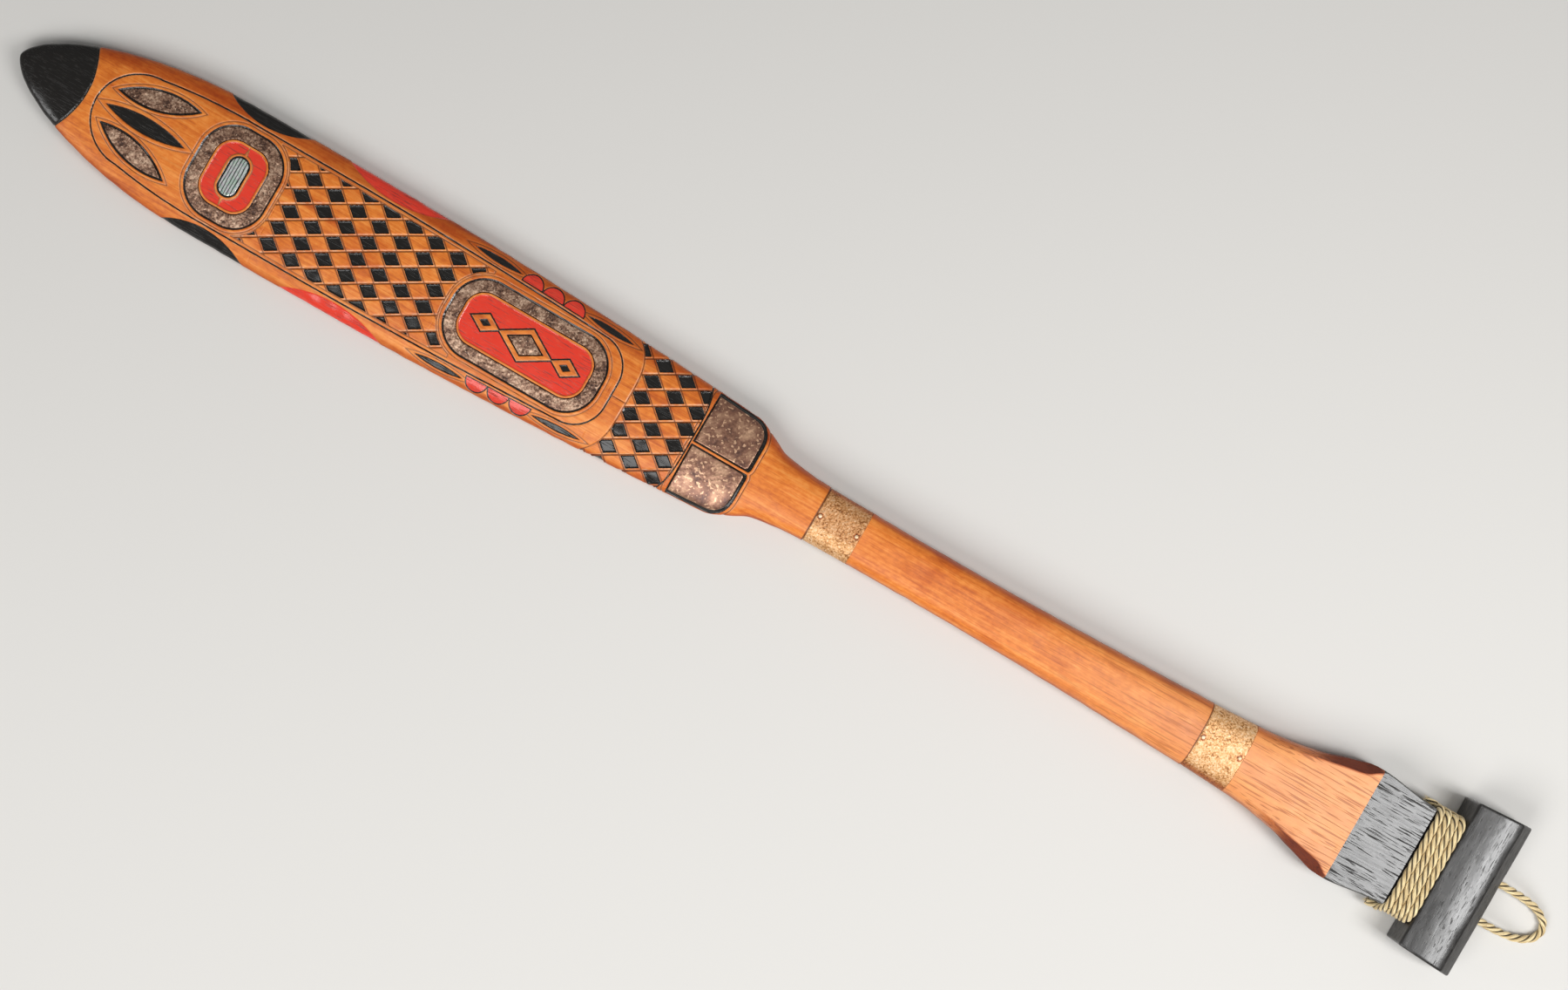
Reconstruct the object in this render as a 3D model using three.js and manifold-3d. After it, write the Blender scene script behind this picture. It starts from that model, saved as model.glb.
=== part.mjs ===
// A carved wooden paddle lying on its back. Blade, shaft, flare and tenon are one piece of wood.
// Copper and shell are let into the blade, two copper bands are tacked round the shaft, and a
// crosspiece sits on the tenon, bound off with rope and carrying a rope loop.
// Millimetres. +X runs from the blade's tip to the crosspiece, +Y across, +Z up from the table.

import * as THREE from 'three';
import { mergeVertices } from 'three/addons/utils/BufferGeometryUtils.js';
import Module from 'manifold-3d';

const wasm = await Module();
wasm.setup();

// Lengths along the paddle, one after the other from the tip
const tipLength = 140;
const parallelLength = 60;
const bladeTaperLength = 285;
const bladeHeelLength = 13;
const shoulderLength = 43;
const shaftLength = 292;
const flareLength = 70;
const endBlockLength = 40;
const gripDepth = 36.5;

// Full widths across the paddle
const bladeWidth = 86;
const bladeRootWidth = 64.8;
const bladeHeelWidth = 55.2;
const neckWidth = 35.8;
const shaftWaistWidth = 33.4;
const shaftEndWidth = 44;
const flareWidth = 72.6;
const endBlockWidth = 64.4;

// Heights over the table: top face, underside and the widest line of the section
const bladeTop = 20;
const bladeEdgeHeight = 10;
const bladeUndercut = 0.5;
const bladeRootTop = 24;
const shaftTop = 26.2;
const shaftBottom = 2.2;
const flareTop = 28.4;
const flareBottom = 2.4;

// Roundness: how fast the tip fills out in plan and in height, how hollow the shoulder and the flare
// are drawn in plan, and the power of the section's curve, where 2 is an oval and more is squarer
const tipPlanFullness = 0.62;
const tipHeightFullness = 0.42;
const shoulderHollow = 0.33;
const flareHollow = 0.33;
const bladePower = 2;
const shaftPower = 2.8;

// The flare's corner starts this far before its widest place, still this much narrower
const flareCornerLength = 10;
const flareCornerRise = 5;

// The shaft is thinnest this far from its blade end, and turns square over this stretch of the flare
const waistFromNeck = 73;
const squareLength = 52;

// Side facets of the flare: width in plan at the widest place, height to width, the width where they
// start, and the small edge of the end block
const facetWidth = 5.5;
const facetSlope = 2;
const facetStartWidth = 2.8;
const endBlockEdge = 0.8;

// Air between pieces that touch
const seatGap = 0.3;

// Crosspiece
const gripLength = 100;
const gripNearLength = 95.5;
const gripHeight = 30;
const gripShoulderDrop = 3.2;
const gripFarShoulderDrop = 1.6;
const gripBevelDepth = 8;
const gripBevelDrop = 9;
const gripUnderBevel = 4;
const gripEdge = 1;

// Tenon that carries the crosspiece, and the seat of the rope lashing
const tenonLength = 20;
const tenonWidth = 22;
const tenonHeight = 13;
const tenonBottom = 9;
const tenonCorner = 0.6;
const lashSeatWidth = 61.2;
const lashSeatTop = 25;
const lashSeatBottom = 6.4;
const lashSeatCorner = 5;

// Rope, and its turns round the neck
const ropeDiameter = 4.6;
const ropePitch = 5.1;
const ropeTurns = 4;
const ropeSides = 6;
const tailLength = 12;
const tailHeight = 8.5;
const tailBend = 5;
const ropeEndOffset = 3;

// Rope loop in the crosspiece
const loopDiameter = 4.8;
const loopSides = 10;
const loopSteps = 30;
const loopSpacing = 25;
const loopHoleDepth = 12;
const loopHeight = 12.5;

// Copper bands on the shaft, each in a shallow rebate with a butt seam behind
const bandWidth = 28.5;
const bandThickness = 0.8;
const bandSink = 0.4;
const bandSeam = 0.8;
const firstBandOffset = 3;
const secondBandOffset = 2.5;

// Tacks of the bands
const tackHeadRadius = 1.2;
const tackHeadHeight = 0.6;
const tackShankRadius = 0.6;
const tackShankLength = 6;
const tackPointLength = 1.5;
const tackInset = 2;
const backTackSpread = 6;

// Copper and shell let into the blade
const inlaySink = 0.2;
const copperThickness = 0.8;
const shellThickness = 1.6;
const smallRingFromTip = 148;
const smallRingLength = 50;
const smallRingWidth = 57;
const smallRingCorner = 20;
const smallRingRim = 7.5;
const shellLength = 11;
const shellWidth = 24;
const shellCorner = 5.4;
const longRingFromTip = 346;
const longRingLength = 100;
const longRingWidth = 48;
const longRingCorner = 20;
const longRingRim = 7;
const lozengeLength = 22;
const lozengeWidth = 13;
const leafFromTip = 88;
const leafLength = 46;
const leafWidth = 11;
const leafOffset = 17;
const leafAngle = 14;
const rootPlateLength = 35;
const rootPlateHeel = 2.5;
const rootPlateRidge = 1.7;
const rootPlateEdge = 2.6;
const rootPlateCorner = 13;
const rootPlateSmallCorner = 2;

// Fields carved into the blade. Every inlay has a lip round it, the rings have a sunk field inside
// with wood left standing in it, and a spear lies between the leaves
const lipWidth = 1.3;
const fieldDepth = 0.8;
const ringFieldDepth = 0.6;
const ringFieldRim = 1.6;
const shellRim = 2.6;
const lozengeRim = 3.35;
const sideLozengeOffset = 27;
const sideLozengeLength = 18;
const sideLozengeWidth = 11;
const spearLength = 55;
const spearWidth = 10.5;
const rootBedInner = 1.2;
const rootBedOuter = 2.4;

// Lattice: dark diamonds cut in slanted rows between the rings and in a band before the root plates
const latticePitch = 16;
const latticeRise = 11.6;
const latticeTilt = 5.5;
const latticeMargin = 0.7;
const latticeDepth = 1.2;
const latticeBorder = 12;
const latticeRingMargin = 4.4;
const latticeAfterSmallRing = 15;
const latticeBeforeLongRing = 37;
const latticeBandLength = 44;
const latticeBandBorder = 3;
const latticeBandGap = 1;

// Points of each quarter of a section: on its side, on the facet and on the flat face
const sidePoints = 3;
const facetPoints = 2;
const facePoints = 5;
const sectionPoints = 4 * (sidePoints + facetPoints + facePoints);

// Fineness of the facets
const tipSteps = 13;
const bladeSteps = 17;
const shoulderSteps = 9;
const shaftSteps = 8;
const flareSteps = 14;
const blockSteps = 3;
const outlineSteps = 5;
const leafSteps = 10;
const panelSteps = 6;
const cornerSteps = 4;
const tackSides = 10;
const tackHeadSteps = 3;
const holeSides = 16;
const gapSamples = 4;

// Points of the wood that stand off a flat face by less than this are dropped
const flatTolerance = 0.02;

// Places along the paddle that follow from the lengths
const parallelEnd = tipLength + parallelLength;
const rootAt = parallelEnd + bladeTaperLength;
const bladeEnd = rootAt + bladeHeelLength;
const neckAt = bladeEnd + shoulderLength;
const shaftEnd = neckAt + shaftLength;
const flareAt = shaftEnd + flareLength;
const blockEnd = flareAt + endBlockLength;
const lashLength = (ropeTurns - 1) * ropePitch + ropeDiameter + 2 * seatGap;
const gripAt = blockEnd + lashLength;
const totalLength = gripAt + gripDepth;
const firstBandAt = neckAt + firstBandOffset;
const secondBandAt = shaftEnd - secondBandOffset - bandWidth;
const rootPlateStart = bladeEnd - rootPlateHeel - rootPlateLength;

const xOf = (along) => along - totalLength / 2;

// A smooth rail through [place, value] pairs: a monotone cubic that never overshoots
function rail(pairs) {
  const slopes = pairs.slice(1).map(([at, value], i) => (value - pairs[i][1]) / (at - pairs[i][0]));
  const tangents = pairs.map((pair, i) => {
    const before = slopes[i - 1] ?? 0;
    const after = slopes[i] ?? 0;
    return before * after > 0 ? 2 * before * after / (before + after) : 0;
  });
  return (along) => {
    const last = pairs.length - 1;
    if (along <= pairs[0][0]) return pairs[0][1];
    if (along >= pairs[last][0]) return pairs[last][1];
    const i = pairs.findIndex(([at]) => at > along) - 1;
    const span = pairs[i + 1][0] - pairs[i][0];
    const t = (along - pairs[i][0]) / span;
    const rise = t * t * (3 - 2 * t);
    const leave = t * (1 - t) * (1 - t) * span;
    const arrive = t * t * (t - 1) * span;
    return pairs[i][1] * (1 - rise) + pairs[i + 1][1] * rise + tangents[i] * leave + tangents[i + 1] * arrive;
  };
}

const shoulderTurn = bladeEnd + shoulderLength * shoulderHollow;
const flareTurn = shaftEnd + flareLength / 2;
const widthRail = rail([
  [parallelEnd, bladeWidth], [rootAt, bladeRootWidth], [bladeEnd, bladeHeelWidth],
  [shoulderTurn, neckWidth + (bladeHeelWidth - neckWidth) * shoulderHollow], [neckAt, neckWidth],
  [neckAt + waistFromNeck, shaftWaistWidth], [shaftEnd, shaftEndWidth],
  [flareTurn, shaftEndWidth + (flareWidth - shaftEndWidth) * flareHollow],
  [flareAt - flareCornerLength, flareWidth - flareCornerRise],
  [flareAt, flareWidth], [blockEnd, endBlockWidth],
]);
const topRail = rail([
  [parallelEnd, bladeTop], [rootAt, bladeRootTop], [neckAt, shaftTop], [flareAt, flareTop],
]);
const bottomRail = rail([[rootAt, -bladeUndercut], [neckAt, shaftBottom], [flareAt, flareBottom]]);
const edgeRail = rail([
  [parallelEnd, bladeEdgeHeight],
  [neckAt, (shaftTop + shaftBottom) / 2],
  [flareAt, (flareTop + flareBottom) / 2],
]);
const facetRail = rail([
  [flareTurn, facetStartWidth], [flareAt - facetWidth, facetWidth], [flareAt + facetWidth, endBlockEdge],
]);
const squareRail = rail([[shaftEnd, 0], [shaftEnd + squareLength, 1]]);
const powerRail = rail([[bladeEnd, bladePower], [neckAt, shaftPower]]);

// How far the rounded tip has filled out, from 0 at the point to 1 at its full size
function tipGrowth(along, fullness) {
  const back = Math.max(0, 1 - along / tipLength);
  return (1 - back * back) ** fullness;
}

const halfWidthAt = (along) => widthRail(along) / 2 * tipGrowth(along, tipPlanFullness);

// One ring of the wood: an oval on the blade and shaft that turns into a faceted block at the flare.
// inset draws the ring inwards all round, and lowering takes the top half down
function woodRing(along, inset = 0, lowering = 0) {
  const growth = tipGrowth(along, tipHeightFullness);
  const edge = edgeRail(along);
  const half = halfWidthAt(along) - (growth > 0 ? inset : 0);
  const up = (topRail(along) - edge) * growth - inset;
  const down = (edge - bottomRail(along)) * growth - inset;
  const facet = facetRail(along);
  const square = squareRail(along);
  const fuller = (value) => Math.sign(value) * Math.abs(value) ** (2 / powerRail(along));
  return Array.from({ length: sectionPoints }, (_, k) => {
    const angle = k / sectionPoints * 2 * Math.PI;
    const rise = Math.sin(angle) >= 0 ? up : down;
    const oval = [half * fuller(Math.cos(angle)), rise * fuller(Math.sin(angle))];
    const fromSide = Math.min(k, Math.abs(sectionPoints / 2 - k), sectionPoints - k);
    const corner = Math.min(1, Math.max(0, (fromSide - sidePoints) / facetPoints));
    const climb = Math.min(1, fromSide / sidePoints);
    const run = Math.min(1, (sectionPoints / 4 - fromSide) / facePoints);
    const blockY = corner < 1 ? half - facet * corner : (half - facet) * run;
    const blockZ = (rise - facet * facetSlope) * climb + facet * facetSlope * corner;
    const y = oval[0] * (1 - square) + Math.sign(Math.cos(angle)) * blockY * square;
    const z = oval[1] * (1 - square) + Math.sign(Math.sin(angle)) * blockZ * square;
    const lowered = z > 0 ? z - lowering : z;
    return new THREE.Vector3(xOf(along), y, Math.max(0, edge + lowered));
  });
}

// One ring of a rounded rectangle, for the lashing seat and the tenon
function boxRing(along, width, bottom, top, corner) {
  return Array.from({ length: sectionPoints }, (_, k) => {
    const quarter = sectionPoints / 4;
    const turn = (Math.floor(k / quarter) + (k % quarter) / (quarter - 1)) * Math.PI / 2;
    const right = k < quarter || k >= 3 * quarter ? 1 : -1;
    const upper = k < 2 * quarter ? 1 : -1;
    const y = right * (width / 2 - corner) + corner * Math.cos(turn);
    const z = (top + bottom) / 2 + upper * ((top - bottom) / 2 - corner) + corner * Math.sin(turn);
    return new THREE.Vector3(xOf(along), y, z);
  });
}

// Evenly spaced places after from, up to and including to
const spread = (from, to, count) => Array.from(
  { length: count }, (_, i) => from + (to - from) * (i + 1) / count);

// A closed skin through rings of equal count, with a flat cap on each end
function loft(rings) {
  const count = rings[0].length;
  const positions = rings.flat().flatMap((p) => [p.x, p.y, p.z]);
  const last = (rings.length - 1) * count;
  const index = [];
  for (let row = 0; row < last; row += count) {
    for (let k = 0; k < count; k += 1) {
      const a = row + k;
      const b = row + (k + 1) % count;
      index.push(a, b, b + count, a, b + count, a + count);
    }
  }
  for (let k = 0; k < count / 2 - 1; k += 1) {
    const far = count - 1 - k;
    index.push(k, far, far - 1, k, far - 1, k + 1);
    index.push(last + k, last + k + 1, last + far - 1, last + k, last + far - 1, last + far);
  }
  const geometry = new THREE.BufferGeometry();
  geometry.setAttribute('position', new THREE.Float32BufferAttribute(positions, 3));
  geometry.setIndex(index);
  return geometry;
}

// A geometry as a solid that can be joined and cut
function solidFrom(geometry) {
  const bare = geometry.clone();
  bare.deleteAttribute('normal');
  bare.deleteAttribute('uv');
  const merged = mergeVertices(bare);
  const corners = merged.index.array;
  const triangles = [];
  for (let i = 0; i < corners.length; i += 3) {
    const [a, b, c] = corners.slice(i, i + 3);
    if (a !== b && b !== c && c !== a) triangles.push(a, b, c);
  }
  return new wasm.Manifold(new wasm.Mesh({
    numProp: 3,
    vertProperties: new Float32Array(merged.attributes.position.array),
    triVerts: new Uint32Array(triangles),
  }));
}

function geometryFrom(solid) {
  const mesh = solid.getMesh();
  const geometry = new THREE.BufferGeometry();
  geometry.setAttribute('position', new THREE.BufferAttribute(new Float32Array(mesh.vertProperties), 3));
  geometry.setIndex(new THREE.BufferAttribute(new Uint32Array(mesh.triVerts), 1));
  geometry.computeVertexNormals();
  return geometry;
}

// The wood from tip to tenon, without its recesses
function woodRings() {
  const floor = bandThickness + seatGap;
  const rebate = (from) => [
    woodRing(from - seatGap), woodRing(from - seatGap, floor + bandSink),
    woodRing(from + bandWidth + seatGap, floor), woodRing(from + bandWidth + seatGap),
  ];
  const tip = [0, ...spread(0, Math.PI / 2, tipSteps)].map((angle) => tipLength * (1 - Math.cos(angle)));
  const rings = (places) => places.map((along) => woodRing(along));
  const seat = (along) => boxRing(along, lashSeatWidth, lashSeatBottom, lashSeatTop, lashSeatCorner);
  const tenon = (along) => boxRing(along, tenonWidth, tenonBottom, tenonBottom + tenonHeight, tenonCorner);
  return [
    ...rings(tip),
    ...rings(spread(tipLength, rootAt, bladeSteps)),
    ...rings(spread(rootAt, neckAt, shoulderSteps)),
    ...rebate(firstBandAt),
    ...rings(spread(firstBandAt + bandWidth + seatGap, secondBandAt - seatGap, shaftSteps).slice(0, -1)),
    ...rebate(secondBandAt),
    ...rings(spread(secondBandAt + bandWidth + seatGap, flareAt - facetWidth, flareSteps)),
    ...rings([flareAt, flareAt + facetWidth]),
    ...rings(spread(flareAt + facetWidth, blockEnd, blockSteps)),
    seat(blockEnd), seat(gripAt - seatGap),
    tenon(gripAt - seatGap), tenon(gripAt + tenonLength),
  ];
}

// The blade's wood with its top taken down by lowering: what lies under an inlay of that depth
function bladeUnder(lowering) {
  const start = leafFromTip - leafLength;
  const places = [
    start, ...spread(start, tipLength, tipSteps), ...spread(tipLength, rootAt, bladeSteps),
    ...spread(rootAt, neckAt, shoulderSteps),
  ];
  return solidFrom(loft(places.map((along) => woodRing(along, 0, lowering))));
}

// Outlines in plan, as shapes in X and Y
function roundedBox(at, length, width, corner) {
  const shape = new THREE.Shape();
  const x = xOf(at);
  const reach = length / 2 - corner;
  const side = width / 2 - corner;
  shape.absarc(x + reach, side, corner, 0, Math.PI / 2);
  shape.absarc(x - reach, side, corner, Math.PI / 2, Math.PI);
  shape.absarc(x - reach, -side, corner, Math.PI, Math.PI * 3 / 2);
  shape.absarc(x + reach, -side, corner, Math.PI * 3 / 2, Math.PI * 2);
  return shape;
}

// A long panel whose sides lie a border's width inside the blade's edge
function panel(from, to, border) {
  const places = [from, ...spread(from, to, panelSteps)];
  const corner = (along, side) => new THREE.Vector2(xOf(along), side * (halfWidthAt(along) - border));
  return new THREE.Shape([
    ...places.map((along) => corner(along, 1)), ...places.toReversed().map((along) => corner(along, -1)),
  ]);
}

// grow widens each of the outlines that follow by the same width all round
function lozenge(at, length, width, grow) {
  const side = Math.hypot(length, width);
  const reach = length / 2 + grow * side / width;
  const rise = width / 2 + grow * side / length;
  const x = xOf(at);
  const shape = new THREE.Shape();
  shape.moveTo(x + reach, 0);
  shape.lineTo(x, rise);
  shape.lineTo(x - reach, 0);
  shape.lineTo(x, -rise);
  return shape;
}

// A leaf between two arcs that meet in a point at each end
function leaf(length, width, offset, degrees, grow) {
  const radius = (length * length + width * width) / (4 * width);
  const centreDepth = radius - width / 2;
  const halfTurn = Math.acos(centreDepth / (radius + grow));
  const tilt = degrees * Math.PI / 180;
  const middle = new THREE.Vector2(xOf(leafFromTip), offset);
  const points = [1, -1].flatMap((face) => Array.from({ length: leafSteps }, (_, i) => {
    const angle = halfTurn * (1 - 2 * i / leafSteps) * face;
    const bow = face * ((radius + grow) * Math.cos(angle) - centreDepth);
    return new THREE.Vector2((radius + grow) * Math.sin(angle), bow).add(middle).rotateAround(middle, tilt);
  }));
  return new THREE.Shape(points);
}

// A copper plate on one side of the ridge at the blade's root, its outer corner rounded off. inner
// widens it towards the ridge and the blade, and grow towards the edge and the shaft
function rootPlate(side, grow, inner = grow) {
  const end = bladeEnd - rootPlateHeel + grow;
  const start = rootPlateStart - inner;
  const ridge = rootPlateRidge - inner;
  const outer = (along) => halfWidthAt(along) - rootPlateEdge + grow;
  const turnAt = end - rootPlateCorner;
  const shape = new THREE.Shape();
  shape.moveTo(xOf(start), side * ridge);
  shape.lineTo(xOf(end - rootPlateSmallCorner), side * ridge);
  shape.quadraticCurveTo(xOf(end), side * ridge, xOf(end), side * (ridge + rootPlateSmallCorner));
  shape.lineTo(xOf(end), side * (outer(turnAt) - rootPlateCorner));
  shape.quadraticCurveTo(xOf(end), side * outer(turnAt), xOf(turnAt), side * outer(turnAt));
  shape.lineTo(xOf(start), side * outer(start));
  return shape;
}

// A tall prism over an outline, for cutting the blade's top
function prism(shape) {
  const geometry = new THREE.ExtrudeGeometry(
    shape, { depth: gripHeight, bevelEnabled: false, curveSegments: outlineSteps });
  geometry.translate(0, 0, bladeEdgeHeight);
  return solidFrom(geometry);
}

// A plate let into the blade: outline(grow) draws it, and its sunk top follows the blade's dome
function inlay(outline, thickness) {
  const top = prism(outline(0)).intersect(bladeUnder(inlaySink));
  const plate = top.subtract(bladeUnder(inlaySink + thickness));
  const seat = prism(outline(seatGap)).subtract(bladeUnder(inlaySink + thickness + seatGap));
  const lip = prism(outline(lipWidth)).subtract(bladeUnder(fieldDepth));
  return { plate, recess: seat.add(lip) };
}

// A ring-shaped plate, whose recess has its own island of wood inside. The island has a sunk field,
// in which what is left standing keeps its height
function ringInlay(at, length, width, corner, rim, standing) {
  const outline = (grow) => roundedBox(at, length + 2 * grow, width + 2 * grow, corner + grow);
  const whole = inlay(outline, copperThickness);
  const field = prism(outline(-rim - ringFieldRim)).subtract(bladeUnder(ringFieldDepth));
  const island = prism(outline(-rim - seatGap)).subtract(field.subtract(standing));
  return {
    plate: whole.plate.subtract(prism(outline(-rim))),
    recess: whole.recess.subtract(island),
  };
}

// The lattice's diamonds, cut out to the outline of a field. They repeat at a pitch along and a rise
// across in rows that slant over the blade, and one that loses more than half to the field is left out
function lattice(from, to, field) {
  const tilt = -latticeTilt * Math.PI / 180;
  const origin = new THREE.Vector2();
  const shape = lozenge(totalLength / 2, latticePitch, latticeRise, -latticeMargin);
  const diamond = prism(shape).rotate([0, 0, -latticeTilt]);
  const rows = Math.ceil(bladeWidth / latticeRise);
  const columns = Math.ceil((to - from) / latticePitch);
  const diamonds = [];
  for (let row = -rows; row < rows; row += 1) {
    for (let column = -columns; column <= columns; column += 1) {
      const centre = new THREE.Vector2(column * latticePitch, (row + 0.5) * latticeRise);
      centre.rotateAround(origin, tilt);
      diamonds.push(diamond.translate([centre.x + xOf((from + to) / 2), centre.y, 0]));
    }
  }
  const pieces = wasm.Manifold.compose(diamonds).intersect(field).decompose();
  return wasm.Manifold.compose(pieces.filter((piece) => piece.volume() > diamond.volume() / 2));
}

// How far a band's outer face lies under the wood: most at its blade side, flush at the other
const sinkAt = (along, from) => bandSink * (1 - (along - from) / bandWidth);

// A copper band: a strip bent round the shaft, its outer face sunk at the blade side only
function band(from) {
  const places = [from, from + bandWidth / 2, from + bandWidth];
  const outer = places.map((along) => woodRing(along, sinkAt(along, from)));
  const inner = places.map((along) => woodRing(along, sinkAt(along, from) + bandThickness));
  const behind = sectionPoints * 3 / 4;
  const strips = Array.from({ length: sectionPoints + 1 }, (_, j) => {
    const k = (behind + j) % sectionPoints;
    const strip = [...inner, ...outer.toReversed()].map((ring) => ring[k].clone());
    const seam = j === 0 ? 1 : j === sectionPoints ? -1 : 0;
    return strip.map((p) => p.setY(p.y + seam * bandSeam / 2));
  });
  return solidFrom(loft(strips));
}

// A tack with a domed head, standing point down at the origin with its head's underside at 0
function tack() {
  const head = Array.from({ length: tackHeadSteps }, (_, i) => {
    const angle = i / tackHeadSteps * Math.PI / 2;
    return new THREE.Vector2(tackHeadRadius * Math.cos(angle), tackHeadHeight * Math.sin(angle));
  });
  const profile = [
    new THREE.Vector2(0, -tackShankLength),
    new THREE.Vector2(tackShankRadius, tackPointLength - tackShankLength),
    new THREE.Vector2(tackShankRadius, 0),
    ...head,
    new THREE.Vector2(0, tackHeadHeight),
  ];
  return new THREE.LatheGeometry(profile, tackSides).rotateX(Math.PI / 2);
}

// Where the tacks go. On each band two are driven from the front and two from behind, by the seam
function tackPlaces() {
  const place = (from, offset, y, back) => {
    const along = from + offset;
    const sunk = sinkAt(along, from);
    const height = back ? bottomRail(along) + sunk - seatGap : topRail(along) - sunk + seatGap;
    return { x: xOf(along), y, height, back };
  };
  return [firstBandAt, secondBandAt].flatMap((from) => [
    place(from, tackInset, 0, false),
    place(from, bandWidth - tackInset, 0, false),
    place(from, bandWidth / 2, backTackSpread / 2, true),
    place(from, bandWidth / 2, -backTackSpread / 2, true),
  ]);
}

function paddleColour(hex, roughness, metalness = 0) {
  return new THREE.MeshStandardMaterial({ color: hex, roughness, metalness });
}

const wood = paddleColour('#c9793a', 0.45);
const blackPaint = paddleColour('#3a3937', 0.5);
const copper = paddleColour('#9a7458', 0.42, 0.9);
const bandCopper = paddleColour('#d8a878', 0.38, 0.9);
const shell = paddleColour('#a9bdb4', 0.2);
const rope = paddleColour('#cdb27a', 0.85);

const paddle = new THREE.Group();

function addPiece(name, geometry, material) {
  const mesh = new THREE.Mesh(geometry, material);
  mesh.name = name;
  paddle.add(mesh);
  return mesh;
}

// Blade inlays and their recesses
const shellOutline = (grow) => roundedBox(
  smallRingFromTip, shellLength + 2 * grow, shellWidth + 2 * grow, shellCorner + grow);
const lozengeOutline = (grow) => lozenge(longRingFromTip, lozengeLength, lozengeWidth, grow);
const leafOutline = (side) => (grow) => leaf(
  leafLength, leafWidth, side * leafOffset, side * leafAngle, grow);
const sideLozenge = (side) => lozenge(
  longRingFromTip + side * sideLozengeOffset, sideLozengeLength, sideLozengeWidth, 0);
const lozengeChain = prism(lozengeOutline(lozengeRim)).add(prism(sideLozenge(1))).add(prism(sideLozenge(-1)));
const inlays = {
  long_ring_inlay: ringInlay(
    longRingFromTip, longRingLength, longRingWidth, longRingCorner, longRingRim, lozengeChain),
  small_ring_inlay: ringInlay(
    smallRingFromTip, smallRingLength, smallRingWidth, smallRingCorner, smallRingRim,
    prism(shellOutline(shellRim))),
  shell_inlay: inlay(shellOutline, shellThickness),
  lozenge_inlay: inlay(lozengeOutline, copperThickness),
  leaf_inlay_left: inlay(leafOutline(1), copperThickness),
  leaf_inlay_right: inlay(leafOutline(-1), copperThickness),
  root_plate_left: inlay((grow) => rootPlate(1, grow), copperThickness),
  root_plate_right: inlay((grow) => rootPlate(-1, grow), copperThickness),
};

// Carved fields: the spear, the bed of the root plates and the two stretches of lattice
function carvedFields() {
  const ringEdge = (at, length, width, corner) => prism(roundedBox(
    at, length + 2 * latticeRingMargin, width + 2 * latticeRingMargin, corner + latticeRingMargin));
  const from = smallRingFromTip + latticeAfterSmallRing;
  const to = longRingFromTip - latticeBeforeLongRing;
  const between = prism(panel(from, to, latticeBorder))
    .subtract(ringEdge(smallRingFromTip, smallRingLength, smallRingWidth, smallRingCorner))
    .subtract(ringEdge(longRingFromTip, longRingLength, longRingWidth, longRingCorner));
  const bandTo = rootPlateStart - rootBedInner - latticeBandGap;
  const bandFrom = bandTo - latticeBandLength;
  const crossBand = prism(panel(bandFrom, bandTo, latticeBandBorder));
  const diamonds = lattice(from, to, between).add(lattice(bandFrom, bandTo, crossBand));
  const spear = prism(leaf(spearLength, spearWidth, 0, 0, 0));
  const bed = (side) => prism(rootPlate(side, rootBedOuter, rootBedInner));
  return [
    diamonds.subtract(bladeUnder(latticeDepth)),
    spear.add(bed(1)).add(bed(-1)).subtract(bladeUnder(fieldDepth)),
  ];
}

let body = solidFrom(loft(woodRings()));
for (const { recess } of Object.values(inlays)) body = body.subtract(recess);
for (const field of carvedFields()) body = body.subtract(field);

// Bands and tacks, each tack in a hole of the band and the wood
const bands = { blade_end_band: band(firstBandAt), grip_end_band: band(secondBandAt) };
const tackHole = solidFrom(new THREE.CylinderGeometry(
  tackShankRadius + seatGap, tackShankRadius + seatGap, 2 * (tackShankLength + seatGap), tackSides)
  .rotateX(Math.PI / 2));
const tacks = tackPlaces();
for (const { x, y, height } of tacks) {
  const hole = tackHole.translate([x, y, height]);
  body = body.subtract(hole);
  for (const name of Object.keys(bands)) bands[name] = bands[name].subtract(hole);
}

addPiece('paddle_body', geometryFrom(body.simplify(flatTolerance)), wood);
for (const [name, { plate }] of Object.entries(inlays)) {
  addPiece(name, geometryFrom(plate), name === 'shell_inlay' ? shell : copper);
}
for (const [name, solid] of Object.entries(bands)) addPiece(name, geometryFrom(solid), bandCopper);
tacks.forEach(({ x, y, height, back }, i) => {
  const mesh = addPiece(`band_tack_${i + 1}`, tack(), bandCopper);
  mesh.position.set(x, y, height);
  if (back) mesh.rotation.x = Math.PI;
});

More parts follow.
